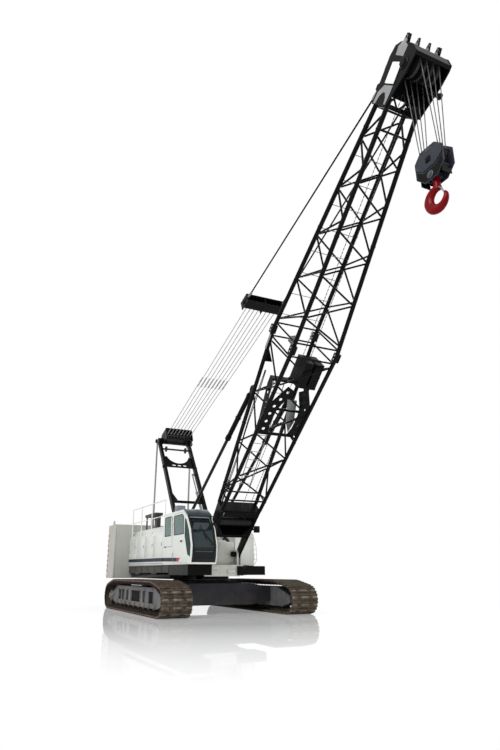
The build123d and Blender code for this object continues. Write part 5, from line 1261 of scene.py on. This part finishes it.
def lined(shells):
    """Shells given as (across, along the hoist line, up) to their place at rest."""
    axes = np.stack([np.array([1.0, 0.0, 0.0]), line_way, line_up])
    return [(points @ axes + gantry_head, faces) for points, faces in shells]


make("bridle_covers", lined(shells), black_paint, "pendants", 0.002)
large_cap = [(-0.02, 0.07), (0.004, 0.07), (0.02, 0.05), (0.024, 0.0)]
small_cap = [(-0.02, 0.05), (0.004, 0.05), (0.016, 0.035), (0.018, 0.0)]
caps = [revolved(bridle_place + (side * 0.668, 0, 0), (side, 0, 0), large_cap, 24) for side in (-1, 1)]
caps += [revolved(pendant_low + (side * 0.655, 0, 0), (side, 0, 0), small_cap, 20) for side in (-1, 1)]
make("bridle_caps", caps, black_paint, "pendants")
bail_edges = []
for near, far, inner, outer, radius in ((0.60, 0.70, 0.222, 0.25, 0.012), (0.30, 0.36, 0.226, 0.246, 0.009)):
    bail_edges += [soft_block((-0.572, near, low), (0.572, far, high), radius)
                   for low, high in ((inner, outer), (-outer, -inner))]
bail_cap = [(-0.006, 0.06), (0.0, 0.06), (0.004, 0.05), (0.004, 0.0)]
bail_edges += [revolved((side * 0.577, 0.42, 0), (side, 0, 0), bail_cap, 22) for side in (-1, 1)]
make("hoist_bail_edges", lined(bail_edges), black_paint, "hoist_lines")

# Gantry: raked legs of welded plate, painted black and pinned at the foot, with a grey jack along the left
# one. Brackets and bolts on the legs and the pulleys below their head come here.
foot, top = at(0, 0.06, 1.66), gantry_head
run = (top - foot) / np.linalg.norm(top - foot)
behind = np.array([0.0, run[2], -run[1]])
jack_x = 0.50
jack_foot = foot + behind * 0.06 + (jack_x, 0, 0)
jack = [rod([jack_foot + run * 1.2, jack_foot + run * 3.1], 0.045, 16)]
collar = [(-0.03, 0.045), (-0.02, 0.058), (0.02, 0.058), (0.03, 0.045)]
jack += [revolved(jack_foot + run * s, run, collar, 16) for s in (1.25, 2.1, 3.05)]
jack_rod = [rod([jack_foot + run * 3.0, jack_foot + run * 4.0], 0.026, 12)]
for s in (1.2, 4.0):
    spot = jack_foot + run * s
    jack.append(soft_block(spot + (-0.02, -0.04, -0.04), spot + (0.10, 0.04, 0.04), 0.01))
make("gantry_jack", jack, grey_link, "upperworks")
make("gantry_jack_rod", jack_rod, steel_pin, "upperworks")
shells = []
top_cap = [(-0.02, 0.085), (0.006, 0.085), (0.02, 0.06), (0.022, 0.0)]
for side in (-1, 1):
    for s in (0.9, 4.28):
        spot = foot + run * s + (side * 0.70, 0, 0)
        shells.append(soft_block(spot - (0.03, 0.05, 0.05), spot + (0.03, 0.05, 0.05), 0.015))
    shells.append(revolved(top + (side * 0.79, 0, 0), (side, 0, 0), top_cap, 24))
    shells += [bolt(foot + run * s + behind * d + (side * 0.693, 0, 0), (side, 0, 0), 0.02)
               for s in (0.25, 0.45, 5.2, 5.4) for d in (-0.05, 0.05)]
make("gantry_brackets", shells, black_paint, "upperworks")
pulley = [(-0.02, 0.04), (-0.02, 0.12), (-0.006, 0.10), (0.006, 0.10), (0.02, 0.12), (0.02, 0.04)]
pulley_axis = top - run * 0.42
wheels = [revolved(pulley_axis + (x, 0, 0), (1, 0, 0), pulley, 24, closed=True) for x in (-0.42, 0.42)]
wheels += [rod([pulley_axis + (x, 0, 0) for x in (-0.58, 0.58)], 0.036, 14)]
make("gantry_tie_pulleys", wheels, sheave_cast, "upperworks")

# Backstops: two black steel tubes with rods that slide in them and keep the boom from falling back. The rings
# round the tubes and the bolts of their glands come here.
gland = []
ring = [(-0.03, 0.074), (-0.02, 0.088), (0.02, 0.088), (0.03, 0.074)]
stop_top = joint_place["backstop_swing"]
slide = next(joint for joint in frame["joints"] if joint["name"] == "backstop_slide")
stop_way = np.array(slide["axis"], float)
stop_way = stop_way * (-1 if stop_way[2] > 0 else 1)
for side in (-1, 1):
    start = stop_top + (side * 0.645, 0, 0)
    gland += [revolved(start + stop_way * s, stop_way, ring, 24, closed=True) for s in (0.26, 1.15)]
    _, first, second = across(stop_way)
    ends = [start + stop_way * 2.05 + 0.076 * (math.cos(t) * first + math.sin(t) * second)
            for t in full_turn(8)]
    gland += [bolt(end, stop_way, 0.009) for end in ends]
make("backstop_glands", gland, black_paint, "backstop_tubes")

# Hook block: slate cheeks bolted over four sheaves, with a square keeper on the shaft, a trunnion with round
# nuts below and a heavy inner housing, black below the cheeks as painted shade of the recess there
block_paint = finish_of("slate_block", (36, 38, 46), (76, 78, 82), 0.4, 0.03, 1.0, 0.45, 0.12, shine=0.14)
dress(block_paint, "hook_block")


def hung(shells):
    """Shells given from the block's shaft to their place."""
    return [(points + block_shaft, faces) for points, faces in shells]


outer, dark, pale = [], [], []
upper = [(-0.19, 0.29), (0.19, 0.29), (0.37, 0.11), (0.37, -0.05), (0.16, -0.19), (-0.16, -0.19),
         (-0.37, -0.05), (-0.37, 0.11)]
lower = [(-0.35, -0.10), (-0.18, -0.23), (0.18, -0.23), (0.35, -0.10), (0.35, -0.27), (0.16, -0.46),
         (-0.16, -0.46), (-0.35, -0.27)]
cheek_bolts = ((-0.15, 0.24), (0.15, 0.24), (0.31, 0.06), (-0.31, 0.06), (0.13, -0.14), (-0.13, -0.14))
nut = [(-0.01, 0.085), (0.018, 0.085), (0.024, 0.075), (0.024, 0.05), (0.045, 0.046), (0.05, 0.0)]
for side in (-1, 1):
    outer.append(slab(upper, side * 0.144, side * 0.166, 0))
    outer += [bolt((side * 0.166, y, z), (side, 0, 0), 0.016) for y, z in cheek_bolts]
    dark.append(soft_block((side * 0.176 - 0.014, -0.06, -0.06), (side * 0.176 + 0.014, 0.06, 0.06), 0.008))
    # The lower inner plate is black, darker than the slate cheeks: painted shade of the recess below them.
    dark.append(slab(lower, side * 0.144, side * 0.151, 0))
    pale.append(revolved((side * 0.145, 0, -0.365), (side, 0, 0), nut, 26))
    pale.append(soft_block((side * 0.168 - 0.003, -0.09, 0.20), (side * 0.168 + 0.003, 0.05, 0.25), 0.002))
outer += [rod([(-0.15, y, z), (0.15, y, z)], 0.022, 14)
          for y, z in ((-0.30, 0.10), (0.30, 0.10), (-0.28, -0.26), (0.28, -0.26))]
dark += [slab([(-0.124, -0.31), (0.124, -0.31), (0.124, -0.47), (-0.124, -0.47)], y, y + 0.012, 1)
         for y in (-0.30, 0.288)]
make("block_cheek_plates", hung(outer), block_paint, "hook_block", 0.003)
make("block_inner_housing", hung(dark), black_paint, "hook_block", 0.002)
nut_grey = finish_of("block_nut_grey", (48, 50, 54), (100, 100, 100), 0.4, 0.02, 1.0, 0.5, 0.25, shine=0.2)
make("block_nuts", hung(pale), nut_grey, "hook_block", 0.001)

# Hook: forged, gloss red, with a spring latch across its throat; a rounded, tapering section carried round
# the throat from the shank to the tip
hook_red = finish_of("gloss_red_hook", (104, 2, 7), (60, 4, 6), 0.22, 0.0, 1.0, 0.2, 0.25, 6.0, shine=0.09)
throat = block_shaft + np.array([0, 0, -0.86])
stations = np.radians([-16, -8, 25, 60, 95, 135, 180, 220, 252, 270, 282])
thick = np.array([0.115, 0.13, 0.17, 0.215, 0.245, 0.225, 0.195, 0.15, 0.11, 0.080, 0.030])
wide = np.array([0.11, 0.12, 0.135, 0.15, 0.16, 0.158, 0.15, 0.128, 0.10, 0.075, 0.030])
angle = np.linspace(stations[0], stations[-1], 72)
thickness, width = np.interp(angle, stations, thick), np.interp(angle, stations, wide)
smooth = np.ones(7) / 7
thickness[3:-3], width[3:-3] = np.convolve(thickness, smooth, "valid"), np.convolve(width, smooth, "valid")
reach = 0.14 + thickness / 2
path = throat + np.stack([0 * angle, reach * np.sin(angle), reach * np.cos(angle)], -1)
turn = full_turn(28)
egg = np.stack([0.5 * np.cos(turn) * (1 - 0.12 * np.sin(turn)), 0.5 * np.sin(turn)], -1)
shank = [(0.16, 0.0), (0.18, 0.070), (0.30, 0.074), (0.43, 0.074), (0.436, 0.055), (0.585, 0.0545),
         (0.595, 0.05), (0.595, 0.0)]
shank_nut = [(0.5505, 0.0), (0.5505, 0.083), (0.586, 0.083), (0.592, 0.076), (0.592, 0.0)]
hook_shells = [carried(path, egg, (1, 0, 0), np.stack([width, thickness], -1)),
               revolved(throat, (0, 0, 1), shank, 28),
               revolved(throat, (0, 0, 1), shank_nut, 6)]
hook_piece = make("forged_hook", hook_shells, hook_red, "hook")
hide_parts("hook")
latch = [slab([(-0.075, 0.175), (-0.155, -0.015), (-0.167, -0.01), (-0.092, 0.185)], -0.03, 0.03, 0),
         rod([(-0.045, -0.075, 0.175), (0.045, -0.075, 0.175)], 0.014, 10)]
latch = [(points + throat, faces) for points, faces in latch]
make("hook_latch", latch, steel_pin, "hook", 0.002)
